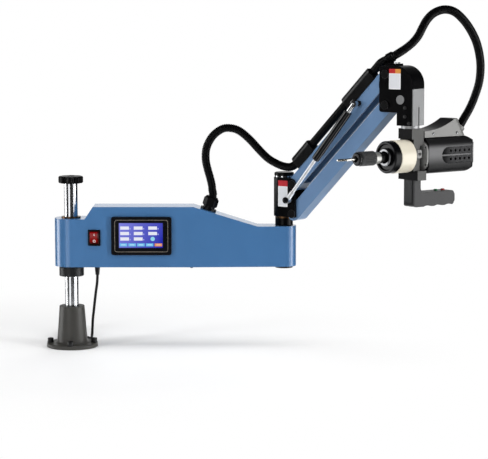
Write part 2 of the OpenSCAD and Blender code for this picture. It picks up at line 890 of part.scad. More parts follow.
// Side outline of the cheeks, with the wide round shoulder
module cheek_outline() {
    r = cheek_corner_r;
    translate([-cheek_back, cheek_z0 + r]) square([cheek_back + leg_x1, cheek_h - shoulder_r - r]);
    translate([-cheek_back + r, cheek_z0]) square([cheek_back + leg_x1 - r, r]);
    translate([-cheek_back + r, cheek_top - shoulder_r])
        square([cheek_back - r + leg_x1 - shoulder_r, shoulder_r]);
    translate([-cheek_back, cheek_top - shoulder_r]) square([cheek_back, shoulder_r - r]);
    translate([-cheek_back + r, cheek_z0 + r]) circle(r);
    translate([-cheek_back + r, cheek_top - r]) circle(r);
    translate([leg_x1 - shoulder_r, cheek_top - shoulder_r]) circle(shoulder_r);
}

module end_bracket() {
    slot = link_w + 2 * side_gap;
    color(black) at_bracket() difference() {
        union() {
            side_plate(-bracket_w / 2, bracket_w / 2) cheek_outline();
            translate([leg_x0, -bracket_w / 2, leg_z0])
                cube([leg_l, bracket_w, leg_drop + cheek_corner_r]);
        }
        // Room for the two links' ends, under the roof
        translate([-cheek_back - over, -slot / 2, cheek_z0 - over])
            cube([cheek_back + core_start + over, slot, cheek_h - roof_t + over]);
        for (z = [0, pin_rise]) translate([0, 0, z]) rotate([90, 0, 0])
            cylinder(d = pin_d + 2 * run, h = 2 * bracket_w, center = true);
        // Bore of the head's swivel, and the clamp slot below
        translate([leg_s, 0, leg_z0 - over]) cylinder(d = leg_bore_d + 2 * run,
            h = 2 * leg_bush_l + over);
        translate([leg_s, -plate_slot_w / 2, leg_z0 - over])
            cube([leg_l, plate_slot_w, plate_slot_h + over]);
    }
}

module leg_plate() {
    r = edge;
    color(grey) at_bracket() difference() {
        translate([leg_x1, plate_n, leg_z0 + plate_h / 2]) rotate([90, 0, 90])
            linear_extrude(plate_out) round_box(plate_w, plate_h, r);
        translate([leg_s, -plate_slot_w / 2, leg_z0 - over])
            cube([leg_l, plate_slot_w, plate_slot_h + over]);
    }
}

module bracket_pins() {
    color(steel) at_bracket() for (z = [0, pin_rise]) translate([0, 0, z])
        cross_pin(pin_d, bracket_w + 2 * pin_head_h + seat, pin_head_d, pin_head_h);
}

// Clamp on the bracket's roof: a foot and a ring round the rising conduit

clamp_slope = 25;
clamp_s = 1;
clamp_rise = 16;
clamp_ring_l = 12;
clamp_wall = 1.8;
clamp_foot = [-6, 25];
clamp_foot_t = 4;

module at_clamp() {
    at_bracket() translate([clamp_s, hose_n, cheek_top + clamp_rise]) rotate([0, -clamp_slope, 0]) children();
}
module hose_clamp() {
    r = hose_d / 2 + seat;
    w = r + clamp_wall;
    color(black) difference() {
        union() {
            at_bracket() translate([clamp_foot[0], hose_n - w, cheek_top])
                cube([clamp_foot[1] - clamp_foot[0], 2 * w, clamp_foot_t]);
            at_clamp() rotate([0, 90, 0]) cylinder(r = w, h = clamp_ring_l, center = true);
            at_bracket() translate([clamp_s - w / 2, hose_n - w / 2, cheek_top])
                cube([w, w, clamp_rise]);
        }
        at_clamp() rotate([0, 90, 0]) cylinder(r = r, h = 3 * clamp_ring_l, center = true);
        at_bracket() translate([-bracket_w, -bracket_w, cheek_top - bracket_w])
            cube([2 * bracket_w, 2 * bracket_w, bracket_w]);
    }
}

// Tapping head, in a frame on the leg's axis, with Z = 0 at the spindle and +X towards the motor

neck_shaft_d = 20;
neck_shaft_z = gear_d / 2 + 2 * edge;
swivel_gap = 6.5;
ring_d = 38;
swivel_ring_h = swivel_gap - 2 * seat;
module at_head() {
    at_bracket() translate([leg_s, 0, leg_z0 - swivel_gap - neck_rise])
        rotate([0, 0, head_yaw]) children();
}

module head_bushes() {
    color(bronze) at_bracket() for (z = [leg_z0, leg_z0 + leg_bush_l]) translate([leg_s, 0, z])
        rotate_extrude()
        polygon([[neck_shaft_d / 2 + run, seat], [leg_bore_d / 2, seat],
            [leg_bore_d / 2, leg_bush_l - seat], [neck_shaft_d / 2 + run, leg_bush_l - seat]]);
}

block_x0 = -14;
block_x1 = block_x0 + block_t;
gear_rear_x = -9;
middle_rear_x = 8;
lower_x0 = -5;
middle_top = 22;
middle_drop = 30;
shaft_bore_d = 16;

module head_block() {
    color(black) difference() {
        at_head() head_casting();
        for (y = [-1, 1]) at_handle_bolt(y) bolt_hole();
    }
}

// The neck above the gear housing, a narrow middle round the shaft and the wide foot below
module head_casting() {
    difference() {
        union() {
            translate([gear_rear_x, -neck_w / 2, middle_top])
                cube([block_x1 - gear_rear_x, neck_w, neck_rise - middle_top]);
            translate([block_x0, -neck_w / 2, gear_d / 2 + edge])
                cube([block_t, neck_w, neck_rise - gear_d / 2 - edge]);
            translate([gear_rear_x, -neck_w / 2, -middle_drop - over])
                cube([middle_rear_x - gear_rear_x, neck_w, middle_drop + middle_top + 2 * over]);
            translate([lower_x0, -block_w / 2, -block_drop])
                cube([block_x1 - lower_x0, block_w, block_drop - middle_drop]);
        }
        translate([0, 0, neck_shaft_z]) cylinder(d = neck_shaft_d + 2 * run, h = neck_rise);
        rotate([0, 90, 0]) cylinder(d = shaft_bore_d, h = 2 * block_t, center = true);
    }
}

module neck_shaft() {
    z0 = neck_shaft_z;
    l = neck_rise - z0 + swivel_gap + 2 * leg_bush_l - 2 * edge;
    color(steel) at_head() translate([0, 0, z0]) rotate_extrude() polygon([
        [0, 0], [neck_shaft_d / 2, 0], [neck_shaft_d / 2, l - edge], [neck_shaft_d / 2 - edge,
            l], [0, l]
    ]);
}

module swivel_ring() {
    color(chrome) at_head() translate([0, 0, neck_rise + seat]) rotate_extrude()
        polygon([[neck_shaft_d / 2 + run, 0], [ring_d / 2, 0], [ring_d / 2, swivel_ring_h],
            [neck_shaft_d / 2 + run, swivel_ring_h]]);
}

// Gear housing, torque drum and its bright ring, in front of the block

gear_x = gear_rear_x - gear_l;
drum_x = gear_x - drum_l;
drum_recess_d = 52;
drum_recess = 4;
drum_ring_d = 38;
drum_ring_l = 9;
drum_bore_d = 26;
nose_d = 23;
nose_l = 17;
neck_d = 18;

module gear_housing() {
    r = gear_d / 2;
    color(cream) at_head() turned([
        [gear_x, neck_d / 2 + run], [gear_x, r - edge], [gear_x + edge,
            r], [gear_x + gear_l - 3 * edge, r],
        [gear_x + gear_l, r - 3 * edge], [gear_x + gear_l, neck_d / 2 + run]
    ]);
}

module torque_drum() {
    r = drum_d / 2;
    color(black) at_head() turned([
        [drum_x + drum_recess, drum_bore_d / 2], [drum_x + drum_recess, drum_recess_d / 2], [drum_x,
            drum_recess_d / 2 + 2 * edge],
        [drum_x, r - 2 * edge], [drum_x + 2 * edge, r], [drum_x + drum_l, r], [drum_x + drum_l,
            drum_bore_d / 2]
    ]);
}

module drum_ring() {
    x = drum_x + drum_recess;
    color(chrome) at_head() turned([
        [x - drum_ring_l + edge, drum_bore_d / 2], [x - drum_ring_l + edge, drum_ring_d / 2 - 2 * edge],
        [x - drum_ring_l + 3 * edge, drum_ring_d / 2], [x, drum_ring_d / 2], [x, drum_bore_d / 2]
    ]);
}

// Motor behind the block, under its cover

flange_plate_t = 3;
motor_x = block_x1 + flange_plate_t;
motor_flange_w = 66;
motor_flange_h = 62;
motor_flange_r = 22;
motor_hole_d = 5;
motor_hole_y = 26;
motor_hole_z = 18;
cover_corner_r = 20;
rear_slope = 20;
rear_drop = 19;
rear_top_drop = 14.5;
vent_w = 34;
vent_rib = 3;
vent_depth = 2;
vent_x = 37;
vent_hole_d = 6;
vent_pitch = 13;
vent_rows_dz = 8.7;
vent_count = 5;
vent_first = 64;
stator_d = 57;
stator_l = 96;
motor_shaft_d = 12;

module motor_flange() {
    color(grey) at_head() translate([block_x1, 0, 0]) rotate([90, 0, 90])
        linear_extrude(flange_plate_t) difference() {
        round_box(motor_flange_w, motor_flange_h, motor_flange_r);
        circle(d = shaft_bore_d);
        for (x = [-1, 1], y = [-1, 1]) translate([x * motor_hole_y, y * motor_hole_z])
            circle(d = motor_hole_d);
    }
}

// Side outline of the cover, with its rear drawn in
function cover_side(e) = inset([
    [0, -motor_h / 2], [motor_l - rear_slope, -motor_h / 2], [motor_l, -motor_h / 2 + rear_drop],
    [motor_l, motor_h / 2 - rear_top_drop], [motor_l - rear_slope, motor_h / 2], [0, motor_h / 2]
], e);

module cover_solid(e) {
    intersection() {
        side_plate(-motor_w, motor_w) polygon(cover_side(e));
        rotate([90, 0, 90]) linear_extrude(motor_l)
            round_box(motor_w - 2 * e, motor_h - 2 * e, cover_corner_r - e);
        translate([0, 0, -motor_h]) linear_extrude(2 * motor_h) union() {
            translate([0, -motor_w / 2 + e]) square([motor_l - rear_slope, motor_w - 2 * e]);
            translate([0, -motor_w / 2 + e + rear_slope / 2])
                square([motor_l - e, motor_w - 2 * e - rear_slope]);
            for (y = [-1, 1]) translate([motor_l - rear_slope, y * (motor_w / 2 - rear_slope)])
                circle(rear_slope - e);
        }
    }
}

module motor_cover() {
    color(black) at_head() translate([motor_x, 0, 0]) difference() {
        cover_solid(0);
        intersection() {
            cover_solid(motor_wall);
            translate([-over, -motor_w, -motor_h]) cube([motor_l, 2 * motor_w, 2 * motor_h]);
        }
        translate([-over, 0, 0]) rotate([90, 0, 90]) linear_extrude(2 * motor_wall + over)
            round_box(motor_w - 2 * motor_wall, motor_h - 2 * motor_wall, cover_corner_r - motor_wall);
        // Two hollows on each side with a rib between them, and a row of vent holes in each
        for (y = [-1, 1]) translate([0, y * motor_w / 2, 0]) side_plate(-vent_depth, vent_depth)
            difference() {
            union() {
                translate([vent_x + vent_w / 2, 0]) circle(d = vent_w);
                translate([vent_x + vent_w / 2, -vent_w / 2]) square([motor_l, vent_w]);
            }
            translate([0, -vent_rib / 2]) square([2 * motor_l, vent_rib]);
        }
        for (i = [0 : vent_count - 1], z = [-1, 1])
            translate([vent_first + i * vent_pitch, 0, z * vent_rows_dz])
            rotate([90, 0, 0]) cylinder(d = vent_hole_d, h = 2 * motor_w, center = true);
    }
}

module motor() {
    color(steel) at_head() {
        translate([motor_x, 0, 0]) rotate([0, 90, 0]) cylinder(d = stator_d, h = stator_l);
        translate([gear_rear_x, 0, 0]) rotate([0, 90, 0])
            cylinder(d = motor_shaft_d, h = motor_x - gear_rear_x + edge);
    }
}

// Cable box on the motor cover: its top sweeps up in a hollow curve from the front lip, and
// the conduit's port stands on its sloping rear

box_w = 45;
box_wall = 3;
box_front_x = 20;
box_lip_h = 14;
box_top_x = 105;
box_rear_slope = 30;
box_rear_x = 142;
box_rear_r = 14;
port_x = 137;
port_z = 52.5;
port_tilt = 38;
port_d = 24;
port_out = 4;
port_in = 14;

module at_port() { at_head() translate([port_x, 0, port_z]) rotate([0, port_tilt, 0]) children(); }

// Side outline of the box; the arc goes through the front lip and the edge of the crest
function box_side(e) =
    let (
        base = motor_h / 2,
        rise = cable_box_h - box_lip_h,
        span = box_top_x - box_front_x,
        sweep_r = (span * span + rise * rise) / (2 * rise),
        last = asin(span / sweep_r)
    )
    inset(concat(
        [[2 * box_rear_x, base + cable_box_h], [box_top_x + edge, base + cable_box_h]],
        arc([box_front_x, base + box_lip_h + sweep_r], sweep_r, 270 + last, 270, 12),
        [[box_front_x, base - (e > 0 ? e + over : 0)], [2 * box_rear_x, base - (e > 0 ? e + over : 0)]]
    ), e);

module box_solid(e) {
    w = box_w - 2 * e;
    r = box_rear_r - e;
    intersection() {
        side_plate(-w / 2, w / 2) polygon(box_side(e));
        // The rounded rear leans forward with the rear face
        translate([box_rear_x, 0, motor_h / 2]) rotate([0, -box_rear_slope, 0])
            translate([-e, 0, -motor_h]) linear_extrude(3 * motor_h) {
            translate([-2 * motor_l, -w / 2]) square([2 * motor_l - r, w]);
            translate([-r - over, -w / 2 + r]) square([r + over, w - 2 * r]);
            for (y = [-1, 1]) translate([-r, y * (w / 2 - r)]) circle(r);
        }
    }
}

module cable_box() {
    color(black) difference() {
        union() {
            at_head() difference() {
                box_solid(0);
                box_solid(box_wall);
            }
            difference() {
                at_port() translate([0, 0, -port_in]) cylinder(d = port_d, h = port_in + port_out);
                at_head() translate([0, 0, -motor_h / 2])
                    cube([4 * motor_l, 2 * motor_w, 2 * motor_h], center = true);
            }
        }
        at_port() translate([0, 0, -2 * port_in]) cylinder(d = hose_d + 2 * seat, h = 4 * port_in);
    }
}

// Handle: a post under the block and a grip that runs back below the motor, with two buttons

handle_post_t = 21;
handle_drop = 107;
grip_top = 76;
handle_round_r = 10;
finger_r = 30;
button_d = 9;
button_proud = 3;
button_sunk = 6;
button_x = [73, 93];
button_travel = 2;
handle_bolt_d = 6;
handle_head_d = 10;
handle_bolt_y = 8;
handle_bolt_sunk = 4;
handle_bolt_l = 60;
handle_x0 = -4.5;
grip_end_x = handle_x0 + grip_l;

module handle_outline() {
    z0 = -handle_drop;
    r = handle_round_r;
    x1 = handle_x0 + handle_post_t;
    difference() {
        union() {
            translate([handle_x0, z0 + r]) square([handle_post_t, handle_drop - block_drop - r]);
            translate([handle_x0 + r, z0]) square([grip_l - 2 * r, grip_h]);
            translate([handle_x0 + r, z0 + r]) circle(r);
            translate([grip_end_x - r, z0 + r]) circle(r);
            translate([grip_end_x - r, z0 + grip_h - r]) circle(r);
            translate([x1, z0 + r]) square([grip_l - handle_post_t - r, grip_h - r - r]);
            translate([grip_end_x - r, z0 + r]) square([r, grip_h - 2 * r]);
            // Fillet between the post and the grip
            translate([x1 - edge, z0 + grip_h - edge]) square([r + edge, r + edge]);
        }
        translate([x1 + r, z0 + grip_h + r]) circle(r);
        // Finger waves below
        for (i = [0 : 2]) translate([x1 + (i + 1) * finger_r - finger_r / 3,
            z0 - finger_r + 2 * edge]) circle(finger_r);
    }
}

module at_button(i) { at_head() translate([button_x[i], 0, -handle_drop + grip_h]) children(); }

module handle() {
    color(black) difference() {
        at_head() intersection() {
            side_plate(-handle_t / 2, handle_t / 2) handle_outline();
            union() {
                translate([0, 0, -handle_drop + grip_h / 2]) rotate([90, 0, 90])
                    linear_extrude(grip_l) round_box(handle_t, grip_h, handle_round_r);
                translate([handle_x0 + grip_l / 2, 0, -2 * handle_drop])
                    linear_extrude(2 * handle_drop) round_box(grip_l, handle_t, handle_round_r / 2);
            }
        }
        for (i = [0, 1]) at_button(i) translate([0, 0, -button_sunk - button_travel - seat])
            cylinder(d = button_d + 2 * run, h = 3 * button_sunk);
        for (y = [-1, 1]) at_handle_bolt(y) bolt_hole();
    }
}

module at_handle_bolt(y) {
    at_head() translate([handle_x0 + handle_post_t / 2, y * handle_bolt_y, -handle_drop]) children();
}
module bolt_hole() {
    translate([0, 0, -over]) cylinder(d = handle_head_d + 2 * run,
        h = handle_bolt_sunk + handle_bolt_d + over);
    cylinder(d = handle_bolt_d + 2 * run, h = handle_bolt_sunk + handle_bolt_d + handle_bolt_l);
}
module handle_bolts() {
    color(steel) for (y = [-1, 1]) at_handle_bolt(y) {
        translate([0, 0, handle_bolt_sunk]) cylinder(d = handle_head_d, h = handle_bolt_d);
        translate([0, 0, handle_bolt_sunk + handle_bolt_d - edge])
            cylinder(d = handle_bolt_d, h = handle_bolt_l);
    }
}

module button(i) {
    at_button(i) translate([0, 0, -button_sunk]) rotate_extrude() polygon(concat(
        [[0, 0], [button_d / 2, 0]],
        arc([button_d / 2 - 2 * edge, button_sunk + button_proud - 2 * edge], 2 * edge, 0, 90, 4),
        [[0, button_sunk + button_proud]]
    ));
}
module forward_button() { color(dark_green) button(0); }
module reverse_button() { color(dark_red) button(1); }

// Spindle, quick-change chuck with its sliding sleeve, and the tap

spindle_tip_x = -96;
chuck_x = spindle_tip_x;
sleeve_start = 5;
sleeve_l = 38;
sleeve_travel = 4;
sleeve_d = 30;
sleeve_bore_d = 24;
chuck_mouth_d = 15;
chuck_mouth_l = 6;
knurl_count = 24;
flute_count = 3;
tap_shank_l = 30;
flute_share = 0.55;

module spindle() {
    r = nose_d / 2;
    x1 = gear_rear_x - edge;
    color(steel) at_head() turned([
        [chuck_x, 0], [chuck_x, r - edge], [chuck_x + edge, r], [chuck_x + nose_l - edge, r],
        [chuck_x + nose_l, r - edge], [chuck_x + nose_l, neck_d / 2], [x1, neck_d / 2], [x1, 0]
    ]);
}

module chuck() {
    r = chuck_d / 2;
    x0 = chuck_x - chuck_l;
    x1 = chuck_x - sleeve_start;
    color(black) at_head() turned([
        [x0 + chuck_mouth_l, tap_d / 2 + run], [x0 + chuck_mouth_l, tap_d / 2 + edge], [x0,
            chuck_mouth_d / 2], [x0, r - 3 * edge],
        [x0 + 3 * edge, r], [x1 - sleeve_l - sleeve_travel, r],
        [x1 - sleeve_l - sleeve_travel, sleeve_bore_d / 2], [x1, sleeve_bore_d / 2],
        [x1, r - edge], [chuck_x - seat, r - edge], [chuck_x - seat, 0], [x0 + tap_shank_l, 0],
        [x0 + tap_shank_l, tap_d / 2 + run]
    ]);
}

// The sleeve slides towards the tap to let the tap go
module chuck_sleeve() {
    x0 = chuck_x - sleeve_start - sleeve_l;
    r = sleeve_d / 2;
    color(iron) at_head() difference() {
        turned([
            [x0, sleeve_bore_d / 2 + run], [x0, r - 2 * edge], [x0 + 2 * edge,
                r], [x0 + sleeve_l - 2 * edge, r],
            [x0 + sleeve_l - seat, r - 2 * edge], [x0 + sleeve_l - seat, sleeve_bore_d / 2 + run]
        ]);
        for (i = [1 : knurl_count]) rotate([i * 360 / knurl_count, 0, 0])
            translate([x0 + 5 * edge, 0, r + edge / 4])
            rotate([0, 90, 0]) cylinder(d = 2 * edge, h = sleeve_l - 10 * edge);
    }
}

module tap() {
    x0 = chuck_x - chuck_l - tap_l;
    r = tap_d / 2;
    flute_l = tap_l - 10 * edge;
    color(chrome) at_head() difference() {
        turned([
            [x0, 0], [x0, r / 2], [x0 + 4 * edge, r], [x0 + tap_l + tap_shank_l - 2 * edge,
                r], [x0 + tap_l + tap_shank_l - 2 * edge, 0]
        ]);
        for (i = [1 : flute_count]) rotate([i * 360 / flute_count, 0, 0])
            translate([x0 - over, 0, r + edge / 4])
            rotate([0, 90, 0]) cylinder(d = tap_d * flute_share, h = flute_l);
    }
}

// Tubes swept along a route: rings of points, joined into one closed skin

function bez(p, i, f) =
    let (
        n = len(p) - 1,
        a = p[max(i - 1, 0)],
        b = p[i],
        c = p[min(i + 1, n)],
        d = p[min(i + 2, n)]
    )
    (2 * b + (c - a) * f + (2 * a - 5 * b + 4 * c - d) * f * f + (3 * b - a - 3 * c + d) * f * f * f) / 2;
// A point at the share q of the whole route, counted in its spans
function along(p, q) =
    let (n = len(p) - 1, x = q * n, i = min(floor(x), n - 1))
    bez(p, i, x - i);
// Lengths of the route up to each of m steps
function steps(p, m) = [for (k = [0 : m]) along(p, k / m)];
function sums(p) = [for (i = 0,
    s = 0; i < len(p); s = s + (i + 1 < len(p) ? norm(p[i + 1] - p[i]) : 0), i = i + 1) s];
// The point at length s along a fine polyline q with its running lengths t
function at_length(q, t, s) =
    let (i = min(len(q) - 2, len([for (v = t) if (v <= s) v]) - 1), f = (s - t[i]) / (t[i + 1] - t[i]))
    q[i] + (q[i + 1] - q[i]) * min(max(f, 0), 1);
function spread(p, n, fine) =
    let (q = steps(p, fine), t = sums(q), l = t[len(t) - 1])
    [for (k = [0 : n]) at_length(q, t, l * k / n)];
// Frames carried along the path without twist
steep = 0.8;
function first_side(t) = unit(cross(t, abs(t.z) < steep ? [0, 0, 1] : [1, 0, 0]));
function tangent(p, i) = unit(p[min(i + 1, len(p) - 1)] - p[max(i - 1, 0)]);
function sides(p) = [
    for (i = 0, n = first_side(tangent(p, 0)); i < len(p);
        i = i + 1, n = i < len(p) ? unit(n - tangent(p, i) * (n * tangent(p, i))) : n) n
];
function ring(c, t, n, r, k) = let (b = cross(t,
    n)) [for (j = [0 : k - 1]) c + r * (cos(360 * j / k) * n + sin(360 * j / k) * b)];

// A solid tube along points p with one radius for each, closed at both ends
module solid_tube(p, radii, k) {
    s = sides(p);
    m = len(p);
    pts = [for (i = [0 : m - 1]) each ring(p[i], tangent(p, i), s[i], radii[i], k)];
    faces = concat(
        [[for (j = [0 : k - 1]) j]],
        [for (i = [0 : m - 2], j = [0 : k - 1], h = [0, 1])
            let (a = i * k + j, b = i * k + (j + 1) % k)
            h == 0 ? [a, a + k, b] : [b, a + k, b + k]],
        [[for (j = [k - 1 : -1 : 0]) (m - 1) * k + j]]
    );
    polyhedron(pts, faces);
}

// A ribbed conduit: crests and roots outside, a smooth bore inside
hose_sides = 8;
rib_depth = 1.6;
rib_pitch = 6.5;
module ribbed_hose(route) {
    fine = 160;
    q = steps(route, fine);
    l = sums(q)[fine];
    ribs = floor(l / rib_pitch);
    p = spread(route, 2 * ribs, fine);
    radii = [for (i = [0 : len(p) - 1]) hose_d / 2 - (i % 2 == 0 ? rib_depth : 0)];
    s = sides(p);
    k = hose_sides;
    m = len(p);
    // The bore has a ring at every third rib, and one at each end
    at = concat([for (i = [0 : 6 : m - 5]) i], [m - 1]);
    mb = len(at);
    pts = concat(
        [for (i = [0 : m - 1]) each ring(p[i], tangent(p, i), s[i], radii[i], k)],
        [for (i = at) each ring(p[i], tangent(p, i), s[i], hose_bore_d / 2, k)]
    );
    o = m * k;
    faces = concat(
        [for (i = [0 : m - 2], j = [0 : k - 1], h = [0, 1])
            let (a = i * k + j, b = i * k + (j + 1) % k)
            h == 0 ? [a, a + k, b] : [b, a + k, b + k]],
        [for (i = [0 : mb - 2], j = [0 : k - 1], h = [0, 1])
            let (a = o + i * k + j, b = o + i * k + (j + 1) % k)
            h == 0 ? [a, b, a + k] : [b, b + k, a + k]],
        [for (j = [0 : k - 1], h = [0, 1]) let (c = (j + 1) % k) h == 0 ? [j, c, o + j] : [c, o + c,
            o + j]],
        [for (j = [0 : k - 1], h = [0, 1])
            let (c = (j + 1) % k, e = (m - 1) * k, f = o + (mb - 1) * k)
            h == 0 ? [e + j, f + j, e + c] : [e + c, f + j, f + c]]
    );
    color(black) polyhedron(pts, faces);
    echo(ribs = ribs, length = l);
}

// Routes of the conduit, in the machine's frame
// Point on the second arm, from its place along, above and across the upper link
function on_post(s, n, z) = [
    arm_l + s * cos(arm_yaw) + n * sin(arm_yaw),
    -s * sin(arm_yaw) + n * cos(arm_yaw),
    z
];
hose_h = upper_link_h / 2 + hose_rise;
function on_hose(t) = on_post(
    pivot_s + t * cos(arm_lift) - hose_h * sin(arm_lift),
    hose_n,
    high_pivot_z + t * sin(arm_lift) + hose_h * cos(arm_lift)
);
function on_clamp(t) = on_post(
    pivot_s + link_l * cos(arm_lift) + clamp_s + t * cos(clamp_slope),
    hose_n,
    low_pivot_z + link_l * sin(arm_lift) + cheek_top + clamp_rise + t * sin(clamp_slope)
);
function on_gland(t) = [
    gland_x + t * sin(slope_angle),
    0,
    arm_base + hump_h - (gland_x - hump_end_x) * tan(slope_angle) + t * cos(slope_angle)
];
port_yaw = head_yaw - arm_yaw;
function on_port(t) =
    let (u = port_x + t * sin(port_tilt))
    on_post(pivot_s + link_l * cos(arm_lift) + leg_s, 0,
        low_pivot_z + link_l * sin(arm_lift) + leg_z0 - swivel_gap - neck_rise + port_z + t * cos(port_tilt))
    + [u * cos(port_yaw), u * sin(port_yaw), 0];

// A run that hangs free from a to b, its points in shares of the distance between them: along it,
// to its left and above it
function free_run(a, b, shares) =
    let (l = norm(b - a), e = (b - a) / l, left = unit(cross([0, 0, 1], e)), up = cross(e, left))
    [for (p = shares) a + l * (p.x * e + p.y * left + p.z * up)];

front_shares = [
    [0.0098, -0.0063, 0.0497], [0.0248, -0.007, 0.1055], [0.0368, -0.0149, 0.1959],
    [0.0457, -0.0235, 0.293], [0.0631, -0.0313, 0.3981], [0.1109, -0.041, 0.5087],
    [0.1873, -0.046, 0.592], [0.2742, -0.0483, 0.6436], [0.383, -0.0465, 0.6647],
    [0.4803, -0.033, 0.6288], [0.551, -0.0267, 0.5637], [0.6212, -0.0177, 0.4374],
    [0.6817, -0.0035, 0.2868], [0.7416, 0.0093, 0.1643], [0.822, 0.0235, 0.0677],
    [0.8927, 0.0188, 0.0137], [0.9482, 0.0106, -0.0067]
];
front_start = on_gland(gland_nut_end + hose_seat_l / 2);
front_end = on_hose(lower_saddle_t[0] - hose_d / 2);
front_route = concat(
    [on_gland(gland_nut_end - hose_seat_l + seat), on_gland(gland_nut_end - hose_seat_l / 2), front_start],
    free_run(front_start, front_end, front_shares),
    [front_end, on_hose(lower_saddle_t[0]), on_hose(lower_saddle_t[0] + hose_d / 2 - seat)]
);
link_shares = [
    [0.3187, 0, 0.0401], [0.6595, 0, 0.0765]
];
link_start = on_hose(upper_saddle_t[1]);
link_end = on_clamp(-clamp_ring_l);
link_route = concat(
    [on_hose(lower_saddle_t[0] + hose_d / 2 + seat), on_hose(lower_saddle_t[0] + 2 * hose_d),
        on_hose(upper_saddle_t[1] - 2 * hose_d), on_hose(upper_saddle_t[1] - hose_d / 2), link_start],
    free_run(link_start, link_end, link_shares),
    [link_end, on_clamp(-clamp_ring_l / 2), on_clamp(-seat)]
);
drop_shares = [
    [0.0322, -0.0267, 0.099], [0.0455, -0.0589, 0.1867], [0.0462, -0.0748, 0.2701],
    [0.0303, -0.0806, 0.3576], [0.0191, -0.0843, 0.449], [0.0341, -0.094, 0.544],
    [0.09, -0.1116, 0.6311], [0.1762, -0.1333, 0.6779], [0.2911, -0.1428, 0.6831],
    [0.4201, -0.1401, 0.6644], [0.5527, -0.1271, 0.6249], [0.6781, -0.1042, 0.5618],
    [0.7873, -0.0793, 0.4797], [0.883, -0.0506, 0.3687], [0.9473, -0.0243, 0.2379],
    [0.9834, -0.0083, 0.1256]
];
drop_start = on_clamp(clamp_ring_l);
drop_end = on_port(port_out + hose_d);
drop_route = concat(
    [on_clamp(seat), on_clamp(clamp_ring_l / 2), drop_start],
    free_run(drop_start, drop_end, drop_shares),
    [drop_end, on_port(port_out), on_port(-port_in / 2)]
);

module hose_front() { ribbed_hose(front_route); }
module hose_link() { ribbed_hose(link_route); }
module hose_drop() { ribbed_hose(drop_route); }

// Power cord: down behind the stand to the bench, then a flat hank in line with the view

cord_rest = cord_d / 2;
hank_run = 90;
hank_r_out = 26;
hank_pitch = 6.5;
hank_layers = 4;
layer_turns = 1.25;
hank_x = -14;
hank_y = 160;
hank_yaw = 5;
hank_rings = 24;

// Point on the straight line by which the cord enters the hank
function on_hank(t) = [
    hank_x + hank_r_out * cos(hank_yaw) - (t - hank_run / 2) * sin(hank_yaw),
    hank_y + hank_r_out * sin(hank_yaw) + (t - hank_run / 2) * cos(hank_yaw),
    cord_rest
];
cord_shares = [
    [0.051, 0, -0.0326], [0.131, 0.0028, -0.0761], [0.2265, 0.0114, -0.1139],
    [0.3356, 0.0162, -0.1493], [0.4497, 0.0174, -0.1768], [0.5689, 0.0149, -0.1964],
    [0.6879, 0.0039, -0.2069], [0.795, -0.0107, -0.1986], [0.8759, -0.0224, -0.1658],
    [0.929, -0.0248, -0.1108], [0.9689, -0.016, -0.0486]
];
cord_start = [cord_x, cord_y, arm_base - hose_seat_l];
cord_end = on_hank(-2 * cord_d);
cord_route = concat([cord_start], free_run(cord_start, cord_end, cord_shares), [cord_end, on_hank(-seat)]);
module power_cord() {
    n = 40;
    p = spread(cord_route, n, 80);
    color(black) solid_tube(p, [for (i = p) cord_d / 2], 8);
}

// Radius and height after q turns: in and out again, climbing where it turns back
function hank_layer(q) = min(floor(q / layer_turns), hank_layers - 1);
function hank_r(q) =
    let (l = hank_layer(q), f = q / layer_turns - l)
    hank_r_out - hank_pitch * layer_turns * (l % 2 == 0 ? f : 1 - f);
function ramp(x) = x <= 0 ? 0 : x >= 1 ? 1 : x * x * (3 - 2 * x);
climb_share = 1 / 4;
function climb(q, layer) = ramp((q / layer_turns - layer) / climb_share + 1 / 2);
function hank_z(q) =
    cord_rest + hank_pitch * (climb(q, 1) + climb(q, 2) + climb(q, 3));
// Place on the loop: two runs and two round ends
function loop_point(q) =
    let (r = hank_r(q), f = q - floor(q), g = 4 * f - floor(4 * f), part = floor(4 * f))
    part == 0 ? [r, -hank_run / 2 + g * hank_run]
    : part == 1 ? [r * cos(180 * g), hank_run / 2 + r * sin(180 * g)]
    : part == 2 ? [-r, hank_run / 2 - g * hank_run]
    : [-r * cos(180 * g), -hank_run / 2 - r * sin(180 * g)];
hank_turns = hank_layers * layer_turns;
hank_path = [for (i = [0 : hank_turns * hank_rings]) let (q = i / hank_rings,
    c = loop_point(q)) [c.x, c.y, hank_z(q)]];
module cord_hank() {
    color(black) translate([hank_x, hank_y, 0]) rotate([0, 0, hank_yaw])
        solid_tube(hank_path, [for (i = hank_path) cord_d / 2], 6);
    l = sums(hank_path)[len(hank_path) - 1];
    gaps = [for (i = [0 : len(hank_path) - 1],
        j = [i + 10 : max(i + 10,
        len(hank_path) - 1)]) if (j < len(hank_path)) norm(hank_path[i] - hank_path[j])];
    echo(hank_length = l, least_gap = min(gaps) - cord_d);
}

base_stand();
column();
top_knob();
height_collar();
slide_washer();
arm_housing();
bottom_plate();
column_bushes();
arm_bearings();
switch_frame();
switch_rocker();
screen_frame();
screen_glass();
servo_drive();
power_supply();
cord_gland();
hose_gland();
swivel_shaft();
post_collar();
wear_ring();
post_fork();
post_ring();
post_cap();
fork_pins();
lower_ball_stud();
upper_link();
lower_link();
upper_ball_stud();
lower_saddle();
upper_saddle();
gas_cylinder();
gas_rod();
end_bracket();
leg_plate();
bracket_pins();
hose_clamp();
head_bushes();
head_block();
neck_shaft();
swivel_ring();
gear_housing();
torque_drum();
drum_ring();
motor_flange();
motor_cover();
motor();
cable_box();
handle();
handle_bolts();
forward_button();
reverse_button();
spindle();
chuck();
chuck_sleeve();
tap();
hose_front();
hose_link();
hose_drop();
power_cord();
cord_hank();
